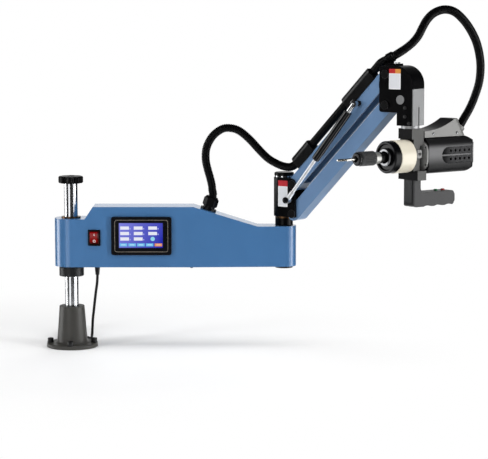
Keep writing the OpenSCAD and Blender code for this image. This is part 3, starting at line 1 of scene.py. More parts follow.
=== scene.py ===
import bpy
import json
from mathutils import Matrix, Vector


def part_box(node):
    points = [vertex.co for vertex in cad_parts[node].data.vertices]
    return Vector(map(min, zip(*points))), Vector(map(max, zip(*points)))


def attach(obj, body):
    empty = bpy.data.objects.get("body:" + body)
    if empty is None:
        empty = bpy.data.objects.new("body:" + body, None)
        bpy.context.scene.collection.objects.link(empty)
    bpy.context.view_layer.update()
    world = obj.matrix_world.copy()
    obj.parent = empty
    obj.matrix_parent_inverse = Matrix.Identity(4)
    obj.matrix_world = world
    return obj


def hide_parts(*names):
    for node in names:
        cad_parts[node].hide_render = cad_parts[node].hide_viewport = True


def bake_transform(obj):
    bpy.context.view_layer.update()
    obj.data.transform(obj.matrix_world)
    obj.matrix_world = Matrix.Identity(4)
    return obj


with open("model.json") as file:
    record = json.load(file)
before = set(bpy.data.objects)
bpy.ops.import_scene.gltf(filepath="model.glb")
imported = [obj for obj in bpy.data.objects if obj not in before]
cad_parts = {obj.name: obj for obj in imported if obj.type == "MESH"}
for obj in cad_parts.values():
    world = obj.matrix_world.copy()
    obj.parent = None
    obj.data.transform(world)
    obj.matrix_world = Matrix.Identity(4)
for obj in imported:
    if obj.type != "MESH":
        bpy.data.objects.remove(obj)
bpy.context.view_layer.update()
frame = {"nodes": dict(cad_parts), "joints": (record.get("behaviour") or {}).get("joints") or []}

import json
import math
from bisect import bisect

import bmesh
import bpy
from mathutils import Matrix, Vector

# Camera
# The photograph looks at the machine's front from a little above the arm, and from far enough off
# that upright edges stay upright.
camera = bpy.data.objects.new("camera", bpy.data.cameras.new("camera"))
camera.location = (0.3783, -4.17542, 0.75659)
camera.rotation_euler = (math.radians(83.2), 0, 0)
camera.data.sensor_width = 36
camera.data.lens = 141.64
scene = bpy.context.scene
scene.collection.objects.link(camera)
scene.camera = camera
scene.view_settings.view_transform = "Standard"

# Front conduit
# Ribbed black nylon conduit takes the motor's cables out of the first arm. It arches up from its
# gland, turns at the post and comes down on the second arm, where the lower saddle holds it.
arm_yaw = 36
arm_lift = 46
arm_slope = 17.26
pivot_out = 0.037
conduit_d = 0.018
conduit_bore = 0.013
conduit_side = -0.0055
conduit_rise = 0.0323
rib_pitch = 0.00325
rib_depth = 0.0009
span_steps = 10


def pivot(name):
    """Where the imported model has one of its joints"""
    return Vector(next(joint["pos_m"] for joint in frame["joints"] if joint["name"] == name))


def shifted(x, y, z):
    return Matrix.Translation((x, y, z))


def rotated(degrees, axis):
    return Matrix.Rotation(math.radians(degrees), 4, axis)


gland = shifted(0.3, 0, 0.30206) @ rotated(arm_slope, "Y")
post = shifted(pivot("second_arm_swing").x, 0, 0) @ rotated(-arm_yaw, "Z")
upper_link = post @ shifted(pivot_out, 0, pivot("arm_lift").z) @ rotated(-arm_lift, "Y")


def in_gland(t):
    """The conduit's axis, at t out of the gland's seat"""
    return gland @ Vector((0, 0, t))


def on_arm(t):
    """The conduit's axis above the second arm's upper link, at t along the link"""
    return upper_link @ Vector((t, conduit_side, conduit_rise))


def smooth(points):
    """One curve through the points, with the same number of steps in each span"""
    p = [Vector(point) for point in points]
    last = len(p) - 1
    curve = []
    for k in range(last * span_steps + 1):
        i = min(k // span_steps, last - 1)
        f = k / span_steps - i
        a, b, c, d = p[max(i - 1, 0)], p[i], p[i + 1], p[min(i + 2, last)]
        curve.append((2 * b + (c - a) * f + (2 * a - 5 * b + 4 * c - d) * f ** 2
                      + (3 * b - a - 3 * c + d) * f ** 3) / 2)
    return curve


def run(curve):
    """Length of a curve"""
    return sum((b - a).length for a, b in zip(curve, curve[1:]))


def turned(profile, sides=24, hexagon=None):
    """A piece turned about Z from radii and heights; the radius named hexagon gets six flats"""
    bm = bmesh.new()
    verts = [bm.verts.new((radius, 0, height)) for radius, height in profile]
    for pair in zip(verts, verts[1:]):
        bm.edges.new(pair)
    bmesh.ops.spin(bm, geom=bm.verts[:] + bm.edges[:], cent=(0, 0, 0), axis=(0, 0, 1),
                   angle=math.tau, steps=sides, use_merge=True)
    bmesh.ops.remove_doubles(bm, verts=bm.verts, dist=1e-7)
    if hexagon:
        for v in bm.verts:
            if abs(v.co.xy.length - hexagon) < 1e-6:
                turn = math.atan2(v.co.y, v.co.x) % (math.pi / 3) - math.pi / 6
                v.co.xy *= math.cos(math.pi / 6) / math.cos(turn)
    return bm


def bent(bm, curve):
    """A straight tube that stands on XY, laid along a curve without a twist"""
    reach = [0.0]
    for a, b in zip(curve, curve[1:]):
        reach.append(reach[-1] + (b - a).length)
    last = len(curve) - 1
    ways = [(curve[min(i + 1, last)] - curve[max(i - 1, 0)]).normalized() for i in range(last + 1)]
    sides = [ways[0].orthogonal().normalized()]
    for way in ways[1:]:
        sides.append((sides[-1] - way * sides[-1].dot(way)).normalized())
    for v in bm.verts:
        i = min(max(bisect(reach, v.co.z) - 1, 0), last - 1)
        f = (v.co.z - reach[i]) / (reach[i + 1] - reach[i])
        way, side = ways[i].lerp(ways[i + 1], f), sides[i].lerp(sides[i + 1], f)
        v.co = curve[i].lerp(curve[i + 1], f) + side * v.co.x + way.cross(side) * v.co.y
    return bm


def conduit(curve):
    """Ribbed conduit with its open bore along a curve"""
    total = run(curve)
    ribs = round(total / rib_pitch)
    crest, groove = conduit_d / 2, conduit_d / 2 - rib_depth
    outside = [(radius, (n + share) * total / ribs) for n in range(ribs)
               for radius, share in ((groove, 0), (groove, 0.3), (crest, 0.42), (crest, 0.88))]
    inside = [(conduit_bore / 2, total * n / (ribs // 3)) for n in range(ribs // 3, -1, -1)]
    return bent(turned(outside + [(groove, total)] + inside + outside[:1]), curve)


class Tone:
    """A value that varies over a surface; sums written with it become shader nodes"""

    def __init__(self, graph, socket):
        self.graph, self.socket = graph, socket

    def maths(self, operation, *values):
        return self.graph.node("Math", {"operation": operation}, dict(enumerate(values)))

    def one(self, operation, *values):
        return self.maths(operation, self, *values)

    def rise(self, low, high):
        """0 up to low and 1 from high on, with a soft rise between them"""
        return self.graph.node("MapRange", {"interpolation_type": "SMOOTHSTEP"},
                               {"Value": self, "From Min": low, "From Max": high})

    def between(self, low, high, soft):
        """1 from low to high, fading to 0 over a soft width on both sides"""
        return self.rise(low - soft, low + soft) - self.rise(high - soft, high + soft)

    def __add__(self, other):
        return self.maths("ADD", self, other)

    def __sub__(self, other):
        return self.maths("SUBTRACT", self, other)

    def __rsub__(self, other):
        return self.maths("SUBTRACT", other, self)

    def __mul__(self, other):
        return self.maths("MULTIPLY", self, other)

    def __lt__(self, other):
        return self.maths("LESS_THAN", self, other)

    def __gt__(self, other):
        return self.maths("GREATER_THAN", self, other)

    def __abs__(self):
        return self.maths("ABSOLUTE", self)

    __radd__, __rmul__ = __add__, __mul__


class Graph:
    """A node tree, with one method for any of its nodes"""

    def __init__(self, tree):
        self.tree = tree

    def node(self, kind, settings, sockets, out=0):
        """Any shader node: its settings first, then the values or links of its sockets"""
        node = self.tree.nodes.new("ShaderNode" + kind)
        for setting, value in settings.items():
            setattr(node, setting, value)
        for socket, value in sockets.items():
            if isinstance(value, Tone):
                self.tree.links.new(value.socket, node.inputs[socket])
            else:
                node.inputs[socket].default_value = value
        return Tone(self, node.outputs[out])

    def parts(self, vector):
        """The three values of a vector"""
        split = self.node("SeparateXYZ", {}, {"Vector": vector})
        return [Tone(self, socket) for socket in split.socket.node.outputs]

    def dot(self, a, b):
        return self.node("VectorMath", {"operation": "DOT_PRODUCT"}, {0: a, 1: b}, 1)

    def ray(self, kind):
        """1 for one kind of ray and 0 for any other"""
        return self.node("LightPath", {}, {}, f"Is {kind} Ray")


class Finish(Graph):
    """One finish: a shader with its constants, and the nodes for what varies over it"""

    def __init__(self, name, **constants):
        self.material = bpy.data.materials.new(name)
        self.material.use_nodes = True
        super().__init__(self.material.node_tree)
        self.shader = self.tree.nodes["Principled BSDF"]
        for socket, value in constants.items():
            self.shader.inputs[socket.replace("_", " ")].default_value = value

    def put(self, socket, tone):
        self.tree.links.new(tone.socket, self.shader.inputs[socket])

    def place(self, frame_of_piece=Matrix()):
        """Object coordinates, seen from a piece's own frame"""
        return self.node("Mapping", {"vector_type": "TEXTURE"}, {
            "Vector": self.node("TexCoord", {}, {}, "Object"),
            "Location": frame_of_piece.to_translation(), "Rotation": frame_of_piece.to_euler()})

    def axes(self, frame_of_piece=Matrix()):
        return self.parts(self.place(frame_of_piece))

    def facing(self, way):
        """How squarely the surface looks one way, before any joint moves"""
        return self.dot(self.node("TexCoord", {}, {}, "Normal"), way)

    def rounded(self, radius):
        """The surface's normal, with its edges rounded off"""
        return self.node("Bevel", {"samples": 4}, {"Radius": radius})

    def noise(self, size):
        return self.node("TexNoise", {}, {"Vector": self.place(), "Scale": 1 / size, "Detail": 2})

    def lines(self, coordinate, size):
        return self.node("TexNoise", {"noise_dimensions": "1D"},
                         {"W": coordinate, "Scale": 1 / size, "Detail": 2})

    def mix(self, mask, low, high):
        return self.node("Mix", {"data_type": "RGBA"}, {0: mask, 6: low, 7: high}, 2)

    def relief(self, height, depth, edge=0.0006):
        self.put("Normal", self.node("Bump", {}, {"Height": height, "Distance": depth,
                                                  "Normal": self.rounded(edge)}))

    def worn(self, reach=0.0012, strength=9, patch=0.006):
        """How sharply the surface turns at an edge, where handling rubs it in patches"""
        turn = 1 - self.dot(self.rounded(reach), self.node("NewGeometry", {}, {}, "Normal"))
        return self.node("Math", {"operation": "MULTIPLY", "use_clamp": True},
                         {0: turn, 1: strength * self.noise(patch)})


def shade(red, green, blue):
    """A colour as it is seen, from 0 to 255, in the linear values of a shader"""
    return tuple(((c / 255 + 0.055) / 1.055) ** 2.4 if c > 10 else c / 255 / 12.92
                 for c in (red, green, blue)) + (1.0,)


def dimmed(colour, share):
    return tuple(c * share for c in colour[:3]) + (1.0,)


cloud_size = 0.04
sharp_from = 34


def finish(name, colour, rough, grain, depth, vary=0.1, edge=0.0006, rubbed=None, lines=None,
           **constants):
    """Cloudy colour, uneven gloss and a fine grain, with eased edges and, as lines, tool marks:
    the frame and the axis that they cross, and their size"""
    made = Finish(name, **constants)
    cloud, speck = made.noise(cloud_size), made.noise(grain)
    made.base = made.mix(cloud, dimmed(colour, 1 - vary), dimmed(colour, 1 + vary))
    if rubbed:
        made.base = made.mix(made.worn(), made.base, rubbed)
    made.put("Base Color", made.base)
    height = speck
    if lines:
        frame_of_piece, axis, size = lines
        along = made.axes(frame_of_piece)["XYZ".index(axis)]
        height = 0.4 * speck + made.lines(along, size)
    made.put("Roughness", rough * (0.75 + 0.3 * cloud + 0.2 * speck))
    made.relief(height, depth, edge)
    return made


def piece(name, bm, made, body=None):
    """A finished mesh, named, dressed and set on the body that carries it"""
    bmesh.ops.remove_doubles(bm, verts=bm.verts, dist=1e-7)
    bmesh.ops.recalc_face_normals(bm, faces=bm.faces)
    mesh = bpy.data.meshes.new(name)
    bm.to_mesh(mesh)
    bm.free()
    mesh.shade_smooth()
    mesh.set_sharp_from_angle(angle=math.radians(sharp_from))
    mesh.materials.append(made.material)
    made_piece = bpy.data.objects.new(name, mesh)
    scene.collection.objects.link(made_piece)
    if body:
        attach(made_piece, body)
    return made_piece


nylon = finish("ribbed_nylon", shade(3, 3, 4), rough=0.4, grain=0.0012, depth=0.00003, vary=0.2,
               Specular_IOR_Level=0.18)
above_gland = (0.309, -0.001, 0.346)
front_curve = smooth([
    in_gland(0.0213), in_gland(0.026), in_gland(0.036),
    above_gland, (0.308, -0.001, 0.357), (0.304, -0.002, 0.374),
    (0.299, -0.003, 0.392), (0.295, -0.004, 0.412), (0.296, -0.006, 0.435),
    (0.304, -0.008, 0.455), (0.316, -0.010, 0.470), (0.334, -0.012, 0.481),
    (0.354, -0.012, 0.481), (0.371, -0.013, 0.474), (0.392, -0.014, 0.456),
    (0.413, -0.014, 0.433), (0.432, -0.014, 0.415), (0.453, -0.014, 0.403),
    (0.469, -0.017, 0.398), (0.480, -0.020, 0.398), on_arm(0.026), on_arm(0.035), on_arm(0.0437)])
over_post = 14 * span_steps
for name, curve, bodies, ends in (
        ("front_conduit_arch", front_curve[:over_post + 1], ("first_arm", "swivel_post"),
         (above_gland, front_curve[over_post])),
        ("front_conduit_foot", front_curve[over_post:], ("swivel_post", "upper_link"),
         (front_curve[over_post], on_arm(0.035)))):
    hose = piece(name, conduit(curve), nylon)
    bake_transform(hose)
    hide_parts("hose_front")
    run(curve)

# Conduit along the second arm
# The same conduit lies under the two saddles, leaves the upper one and rises to the clamp on the
# bracket's roof, where the real conduit flexes as the bracket stays level.
bracket = post @ shifted(0.271794, 0, 0.540637)
clamp = bracket @ shifted(0.001, conduit_side, 0.098) @ rotated(-25, "Y")


def in_clamp(t):
    """The conduit's axis, at t from the middle of the clamp"""
    return clamp @ Vector((t, 0, 0))


link_curve = smooth([
    on_arm(0.0443), on_arm(0.071), on_arm(0.275), on_arm(0.302), on_arm(0.311),
    post @ Vector((0.239, conduit_side, 0.6172)), post @ Vector((0.249, conduit_side, 0.6272)),
    in_clamp(-0.012), in_clamp(-0.006), in_clamp(-0.0003)])
hose = piece("arm_conduit", conduit(link_curve), nylon)
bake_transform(hose)
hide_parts("hose_link")
run(link_curve)

# Head conduit
# Beyond the clamp the conduit stands up in a wide free arch and comes down into the port of the
# cable box behind the head. The arch is what lets the head swivel.
head_yaw = 73
head = shifted(*pivot("spindle_turn")) @ rotated(head_yaw - arm_yaw, "Z")
port = head @ shifted(0.137, 0, 0.0525) @ rotated(38, "Y")


def in_port(t):
    """The conduit's axis, at t above the cable box's port"""
    return port @ Vector((0, 0, t))


drop_curve = smooth([
    in_clamp(0.0003), in_clamp(0.006), in_clamp(0.012),
    (0.712, -0.168, 0.656), (0.728, -0.168, 0.669), (0.740, -0.166, 0.683),
    (0.749, -0.163, 0.700), (0.759, -0.159, 0.717), (0.774, -0.154, 0.731),
    (0.795, -0.148, 0.738), (0.816, -0.143, 0.734), (0.835, -0.136, 0.719),
    (0.852, -0.127, 0.698), (0.866, -0.117, 0.673), (0.875, -0.107, 0.645),
    (0.879, -0.099, 0.616), (0.877, -0.093, 0.584), (0.868, -0.091, 0.553),
    (0.858, -0.092, 0.529), in_port(0.022), in_port(0.004), in_port(-0.007)])
hose = piece("head_conduit", conduit(drop_curve), nylon)
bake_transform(hose)
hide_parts("hose_drop")
run(drop_curve)

# Power cord
# A round mains lead in black PVC hangs from a gland under the arm, passes behind the stand and
# lies in a flat hank on the bench. A strap holds the turns, and the moulded plug rests on them.
cord_d = 0.006
hank = shifted(-0.014, 0.16, 0) @ rotated(5, "Z")
hank_run = 0.09
hank_out = 0.026
hank_pitch = 0.0065
hank_layers = 4
hank_steps = 240
layer_turns = 1.25
climb_share = 0.25
plug_y = 0.012
plug_z = 0.0377


def lead(curve, step=0.003):
    """Plain round cord along a curve"""
    total = run(curve)
    rings = max(round(total / step), 8)
    side = [(cord_d / 2, total * n / rings) for n in range(rings + 1)]
    return bent(turned([(0, 0)] + side + [(0, total)], sides=14), curve)


def ramp(x):
    """A climb from 0 to 1, level at both ends"""
    x = min(max(x, 0), 1)
    return x * x * (3 - 2 * x)


def hank_point(q):
    """The lead's axis after q turns: in and out again, climbing where it turns back"""
    layer = min(int(q / layer_turns), hank_layers - 1)
    share = q / layer_turns - layer
    r = hank_out - hank_pitch * layer_turns * (share if layer % 2 == 0 else 1 - share)
    climbed = sum(ramp((q / layer_turns - k) / climb_share + 0.5) for k in range(1, hank_layers))
    quarter, g = divmod(4 * (q % 1), 1)
    x, y = ((r, g * hank_run - hank_run / 2),
            (r * math.cos(math.pi * g), hank_run / 2 + r * math.sin(math.pi * g)),
            (-r, hank_run / 2 - g * hank_run),
            (-r * math.cos(math.pi * g), -hank_run / 2 - r * math.sin(math.pi * g)))[int(quarter)]
    return hank @ Vector((x, y, cord_d / 2 + hank_pitch * climbed))


pvc = finish("cord_pvc", shade(4, 4, 5), rough=0.5, grain=0.0008, depth=0.00001, vary=0.15,
             Specular_IOR_Level=0.3)
cord_curve = smooth([
    (0.056, 0.006, 0.170), (0.056, 0.006, 0.158), (0.055, 0.007, 0.140), (0.052, 0.010, 0.120),
    (0.049, 0.015, 0.098), (0.046, 0.022, 0.076), (0.043, 0.031, 0.054), (0.041, 0.042, 0.033),
    (0.039, 0.055, 0.016), (0.036, 0.069, 0.006), (0.031, 0.083, 0.003), (0.024, 0.096, 0.003),
    hank @ Vector((hank_out, -hank_run / 2 - 0.012, cord_d / 2)), hank_point(0)])
for point in cord_curve:
    point.z = max(point.z, cord_d / 2)
split = 4 * span_steps
for name, curve, bodies, ends in (
        ("cord_drop", cord_curve[:split + 1], ("first_arm", "collar"),
         (cord_curve[span_steps], cord_curve[split])),
        ("cord_tail", cord_curve[split:], ("collar", "base"),
         (cord_curve[split], cord_curve[9 * span_steps]))):
    cord = piece(name, lead(curve), pvc)
    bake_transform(cord)
    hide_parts("power_cord")
    run(curve)

turns = hank_layers * layer_turns
hank_curve = [hank_point(turns * n / hank_steps) for n in range(hank_steps + 1)]
lift = smooth([hank_point(turns - 0.05), hank_point(turns)] + [hank @ Vector(point) for point in (
    (0.0252, -0.037, 0.0245), (0.0225, -0.028, 0.0290), (0.0165, -0.019, 0.0338),
    (0.0085, -0.011, 0.0368), (0.0025, -0.003, plug_z), (0.0, 0.006, plug_z),
    (0.0, plug_y, plug_z))])
hank_curve += lift[span_steps + 1:]
coil = piece("cord_coil", lead(hank_curve), pvc, "base")
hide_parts("cord_hank")


def sheet(width, height, corner, segments):
    """A flat rectangle with round corners"""
    bm = bmesh.new()
    bmesh.ops.create_grid(bm, x_segments=1, y_segments=1, size=0.5)
    bmesh.ops.scale(bm, vec=(width, height, 1), verts=bm.verts)
    bmesh.ops.bevel(bm, geom=bm.verts[:], offset=corner, offset_type="OFFSET", affect="VERTICES",
                    segments=segments, profile=0.5, material=-1)
    return bm


def thickened(bm, thick):
    """A flat shape given its thickness, so that it stands on XY"""
    bmesh.ops.solidify(bm, geom=bm.faces[:], thickness=thick)
    low = min(v.co.z for v in bm.verts)
    bmesh.ops.translate(bm, vec=(0, 0, -low), verts=bm.verts)
    return bm


def plate(width, height, corner, thick, eased=0.0):
    """A plate with round corners that stands on XY, its upper edge eased"""
    bm = thickened(sheet(width, height, corner, 6), thick)
    if eased:
        rim = [e for e in bm.edges if all(v.co.z > thick / 2 for v in e.verts)]
        bmesh.ops.bevel(bm, geom=rim, offset=eased, offset_type="OFFSET", affect="EDGES",
                        segments=3, profile=0.5, material=-1)
    return bm


def moved(bm, place):
    bm.transform(place)
    return bm


def joined(*parts):
    """Several shapes in one mesh"""
    whole = bmesh.new()
    for part in parts:
        mesh = bpy.data.meshes.new("part")
        part.to_mesh(mesh)
        part.free()
        whole.from_mesh(mesh)
        bpy.data.meshes.remove(mesh)
    return whole


def band(width, height, corner, wall, depth):
    """A strap or strip that runs round a rectangle with round corners"""
    bm = sheet(width, height, corner, 8)
    centre = bm.faces[:]
    bmesh.ops.inset_individual(bm, faces=centre, thickness=wall, use_even_offset=True)
    bmesh.ops.delete(bm, geom=centre, context="FACES_ONLY")
    return thickened(bm, depth)


upright = rotated(-90, "X")
plug_place = hank @ shifted(0, plug_y, plug_z) @ upright
plug_face = 0.050
relief_taper = turned([(0, 0), (0.0036, 0), (0.0041, 0.004), (0.0048, 0.008), (0.0060, 0.013),
                       (0.0085, 0.017), (0, 0.017)])
plug_body = plate(width=0.027, height=0.0235, corner=0.007, thick=0.034, eased=0.003)
plug = piece("mains_plug", moved(joined(relief_taper, moved(plug_body, shifted(0, 0, 0.0165))),
                                 plug_place), pvc, "base")
brass = finish("plated_brass", shade(196, 186, 160), rough=0.3, grain=0.0005, depth=0.000004,
               Metallic=1.0)
pins = joined(*[moved(plate(width=0.0015, height=0.0063, corner=0.0004, thick=0.016),
                      shifted(x, 0.003, plug_face)) for x in (-0.0063, 0.0063)],
              moved(turned([(0, 0), (0.0024, 0), (0.0024, 0.016), (0.0015, 0.0185), (0, 0.019)]),
                    shifted(0, -0.0065, plug_face)))
pins = piece("plug_pins", moved(pins, plug_place), brass, "base")
strap = moved(band(width=0.0606, height=0.027, corner=0.009, wall=0.0012, depth=0.007),
              hank @ shifted(0, -0.0505, 0.0135) @ upright)
strap = piece("cord_strap", strap, pvc, "base")
run(hank_curve)

# Stand
# The foot is one dark iron casting, rough from the sand, with a bored boss for the column. Four
# socket screws on washers hold its flange to the bench.
nodes = frame["nodes"]
flange_t = 0.009
bolt_circle_r = 0.048
washer_t = 0.0016
washer_edge = 0.0003


def dress(made, *names):
    """Gives CAD nodes their finish"""
    for name in names:
        slots = nodes[name].data.materials
        slots.clear()
        slots.append(made.material)


iron = finish("cast_iron", shade(54, 53, 50), rough=0.42, grain=0.0016, depth=0.00022, vary=0.22,
              edge=0.0012, rubbed=shade(92, 90, 88))
dress(iron, "base_stand")
black_oxide = finish("black_oxide", shade(10, 10, 11), rough=0.4, grain=0.0009, depth=0.00001,
                     vary=0.2, rubbed=shade(50, 50, 52))


def socket_screw(d, h, washer_r=0.0):
    """A socket head with its hexagon, on a washer where it has one"""
    r, key = d / 2, d * 0.27
    foot = washer_t if washer_r else 0
    washer = [(washer_r, 0), (washer_r, foot - washer_edge), (washer_r - washer_edge, foot)]
    return turned([(0, 0)] + (washer if washer_r else [])
                  + [(r, foot), (r, foot + h * 0.88), (r * 0.9, foot + h), (key, foot + h),
                     (key, foot + h * 0.5), (0, foot + h * 0.45)], hexagon=key)


for n in range(4):
    place = rotated(90 * n, "Z") @ shifted(bolt_circle_r, 0, flange_t)
    screw = socket_screw(d=0.013, h=0.008, washer_r=0.0075)
    piece(f"base_screw_{n}", moved(screw, place), black_oxide, "base")

# Column
# A ground and hard-chromed tube stands in the foot. The arm slides on it, and a moulded knob on
# a stud closes its top. The split collar under the arm sets the height.
chrome = finish("hard_chrome", shade(226, 228, 231), rough=0.2, grain=0.0005, depth=0.0000006,
                vary=0.03, lines=(Matrix(), "Z", 0.0004), Metallic=1.0)
dress(chrome, "column")
knob_plastic = finish("knob_plastic", shade(3, 3, 4), rough=0.36, grain=0.0007, depth=0.00002,
                      vary=0.15, edge=0.001, Specular_IOR_Level=0.1)
dress(knob_plastic, "top_knob")
collar_steel = finish("collar_steel", shade(38, 39, 40), rough=0.42, grain=0.0006, depth=0.00001,
                      vary=0.15, rubbed=shade(120, 121, 122), lines=(Matrix(), "Z", 0.0003),
                      Metallic=0.6)
dress(collar_steel, "height_collar", "slide_washer")

# First arm
# An aluminium casting, open below, painted blue with a slight orange peel. A plate closes it
# from below, held by ten small screws, one of them round-headed and the rest flat.
arm_face = -0.036
arm_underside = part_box("bottom_plate")[0][2]
paint = finish("blue_paint", shade(58, 104, 151), rough=0.34, grain=0.0026, depth=0.00004,
               vary=0.05, edge=0.0016, Coat_Weight=0.8, Coat_Roughness=0.14)
dress(paint, "arm_housing", "bottom_plate")
bronze = finish("turned_bronze", shade(112, 84, 58), rough=0.35, grain=0.0006, depth=0.000008,
                vary=0.12, lines=(post, "Z", 0.0003), Metallic=1.0)
steel = finish("turned_steel", shade(172, 174, 177), rough=0.28, grain=0.0006, depth=0.000006,
               vary=0.08, lines=(post, "Z", 0.0003), Metallic=1.0)
dress(bronze, "column_bushes", "wear_ring", "head_bushes")
dress(steel, "arm_bearings", "neck_shaft", "motor")
key_r = 0.0013
flat = [(0, 0), (0.0036, 0), (0.0034, 0.0004), (0.0014, 0.0004), (key_r, -0.0008), (0, -0.0009)]
dome = [(0, 0), (0.0036, 0), (0.0035, 0.0009), (0.0028, 0.0019), (0.0014, 0.0024),
        (key_r, 0.0012), (0, 0.0011)]
plate_screws = [(x, side * y) for x, y in ((0.264, 0.0285), (0.100, 0.0285), (0.182, 0.0285),
                                           (0.346, 0.0245), (0.425, 0.0205)) for side in (-1, 1)]
for n, (x, y) in enumerate(plate_screws):
    screw = turned(flat if n else dome, sides=20, hexagon=key_r)
    place = shifted(x, y, arm_underside) @ rotated(180, "X")
    piece(f"plate_screw_{n}", moved(screw, place), black_oxide, "first_arm")

# Power switch
# A snap-in frame of glossy black plastic carries a red rocker with its two marks, a bar for on
# and a ring for off, moulded in white.
gloss_black = finish("gloss_black", shade(3, 3, 4), rough=0.2, grain=0.0012, depth=0.000008,
                     vary=0.15, edge=0.0007)
dress(gloss_black, "switch_frame")
# The red rocker has a faint painted glow, though no lamp is in it
rocker_red = finish("rocker_red", shade(112, 7, 7), rough=0.16, grain=0.0015, depth=0.000006,
                    vary=0.06, Emission_Strength=0.06)
mark_r = 0.0024
mark_line = 0.0005
mark_rise = 0.0072
x, _, z = rocker_red.axes(shifted(*pivot("power_rocker")))
# Painted shade: the rocker's upper, lower and right edges, under the frame, turn deep dark red
edges = (z < -0.0098) + (x > 0.0068) + (z > 0.0125)
bar = (abs(x) < mark_line) * (abs(z - 0.007) < mark_r)
radius = (x * x + (z + mark_rise) * (z + mark_rise)).one("SQRT")
ring = abs(radius - mark_r) < mark_line
red = rocker_red.mix(edges, rocker_red.base, shade(24, 3, 3))
rocker_red.put("Base Color", rocker_red.mix(bar + ring, red, shade(240, 240, 240)))
# The painted glow: red on the rocker, dim grey on its white marks
rocker_red.put("Emission Color", rocker_red.mix(bar + ring, shade(210, 20, 14), shade(20, 20, 20)))
dress(rocker_red, "switch_rocker")

# Touch screen
# A moulded bezel stands proud of the arm with a thin metal line let into it. The panel behind
# the glass is lit: rows of white value boxes on blue, a round key, and a row of keys below.
screen_place = shifted(0.1555, arm_face, 0.2493)
line_out = 0.00562
glass_w = 0.095
glass_h = 0.054
bezel = finish("bezel_plastic", shade(4, 4, 8), rough=0.28, grain=0.0008, depth=0.000012,
               vary=0.15, edge=0.0012, Specular_IOR_Level=0.3)
dress(bezel, "screen_frame")
face_out = rotated(90, "X")
trim = finish("trim_metal", shade(158, 150, 138), rough=0.4, grain=0.0006, depth=0.000004)
strip = moved(band(width=0.1158, height=0.0698, corner=0.005, wall=0.0006, depth=0.0006),
              screen_place @ shifted(0, -line_out, 0) @ face_out)
piece("bezel_line", strip, trim, "first_arm")
panel = Finish("lit_panel", Roughness=0.08, Emission_Strength=0.95, Coat_Weight=0.5)
x, _, z = panel.axes(screen_place @ shifted(-0.001, 0, 0.0012))
across, up = x * (1 / glass_w) + 0.5, z * (1 / glass_h) + 0.5


def key(u, v, width, height):
    """Where a box lies on the panel, in shares of its width and height"""
    return (abs(across - u) < width / 2) * (abs(up - v) < height / 2)


glow = panel.noise(0.03)
lit = panel.mix(across * 0.75 + (1 - up) * 0.2 + glow * 0.2, shade(134, 138, 232),
                shade(30, 40, 174))
for u, v in ((0.13, 0.80), (0.44, 0.80), (0.77, 0.80), (0.13, 0.58), (0.44, 0.58), (0.77, 0.58),
             (0.13, 0.36), (0.44, 0.36)):
    lit = panel.mix(key(u, v, 0.2, 0.13), lit, shade(236, 238, 250))
    lit = panel.mix(key(u + 0.125, v - 0.03, 0.025, 0.05), lit, shade(176, 180, 236))
round_key = (across - 0.77) * (across - 0.77) * 3.1 + (up - 0.36) * (up - 0.36)
lit = panel.mix(round_key < 0.0075, lit, shade(150, 220, 240))
for n in range(5):
    lit = panel.mix(key(0.1 + 0.2 * n, 0.12, 0.17, 0.12), lit,
                    shade(232, 150, 92) if n == 4 else shade(112, 196, 240))
    lit = panel.mix(key(0.1 + 0.2 * n, 0.12, 0.1, 0.03), lit,
                    shade(244, 214, 190) if n == 4 else shade(206, 236, 250))
panel.put("Emission Color", lit)
panel.put("Base Color", panel.mix(glow, shade(6, 6, 14), shade(12, 12, 26)))
panel.relief(glow, 0.000001, 0.0003)
dress(panel, "screen_glass")

# Electrics inside the arm
# The servo drive stands in its folded zinc case beside the power supply with its finned cover,
# both on the bottom plate and out of sight.
zinc = finish("zinc_case", shade(150, 152, 150), rough=0.45, grain=0.003, depth=0.00001, vary=0.16,
              Metallic=0.8)
dress(zinc, "servo_drive", "power_supply")

# Glands
# Black nylon glands clamp the conduit on the arm's slope and the mains lead under the arm. Each
# has a flange, a threaded body and a domed nut.
gland_nylon = finish("gland_nylon", shade(4, 4, 5), rough=0.3, grain=0.0009, depth=0.00002,
                     vary=0.15, edge=0.0009, Specular_IOR_Level=0.3)
dress(gland_nylon, "cord_gland", "hose_gland")

# Swivel post
# A steel shaft turns in the arm's bearings. Above the bronze wear ring a cast fork carries both
# links, in black powder coat, with a bright slotted ring and a cap on top.
coat = finish("black_powder", shade(3, 3, 4), rough=0.3, grain=0.0011, depth=0.00003, vary=0.2,
              edge=0.001, rubbed=shade(26, 26, 28), Specular_IOR_Level=0.15)
dress(coat, "post_collar", "post_fork", "post_cap", "end_bracket", "hose_clamp",
      "torque_drum")
bright = finish("bright_ring", shade(214, 216, 219), rough=0.18, grain=0.0005, depth=0.000003,
                vary=0.04, lines=(post, "Z", 0.0002), Metallic=1.0)
ring_slots = 18
x, y, _ = bright.axes(post)
turn = y.one("ARCTAN2", x) * (ring_slots / math.tau)
slot = abs(turn.one("FRACT") - 0.5) > 0.3
bright.put("Base Color", bright.mix(slot * 0.85, bright.base, shade(30, 30, 32)))
dress(bright, "post_ring")
dark_steel = finish("dark_steel", shade(16, 16, 17), rough=0.3, grain=0.0006, depth=0.00001,
                    vary=0.15, rubbed=shade(84, 84, 86), Metallic=0.5)
dress(dark_steel, "swivel_shaft", "fork_pins", "bracket_pins", "lower_ball_stud",
      "upper_ball_stud", "handle_bolts")
vinyl_t = 0.00025
vinyl_margin = 0.0022


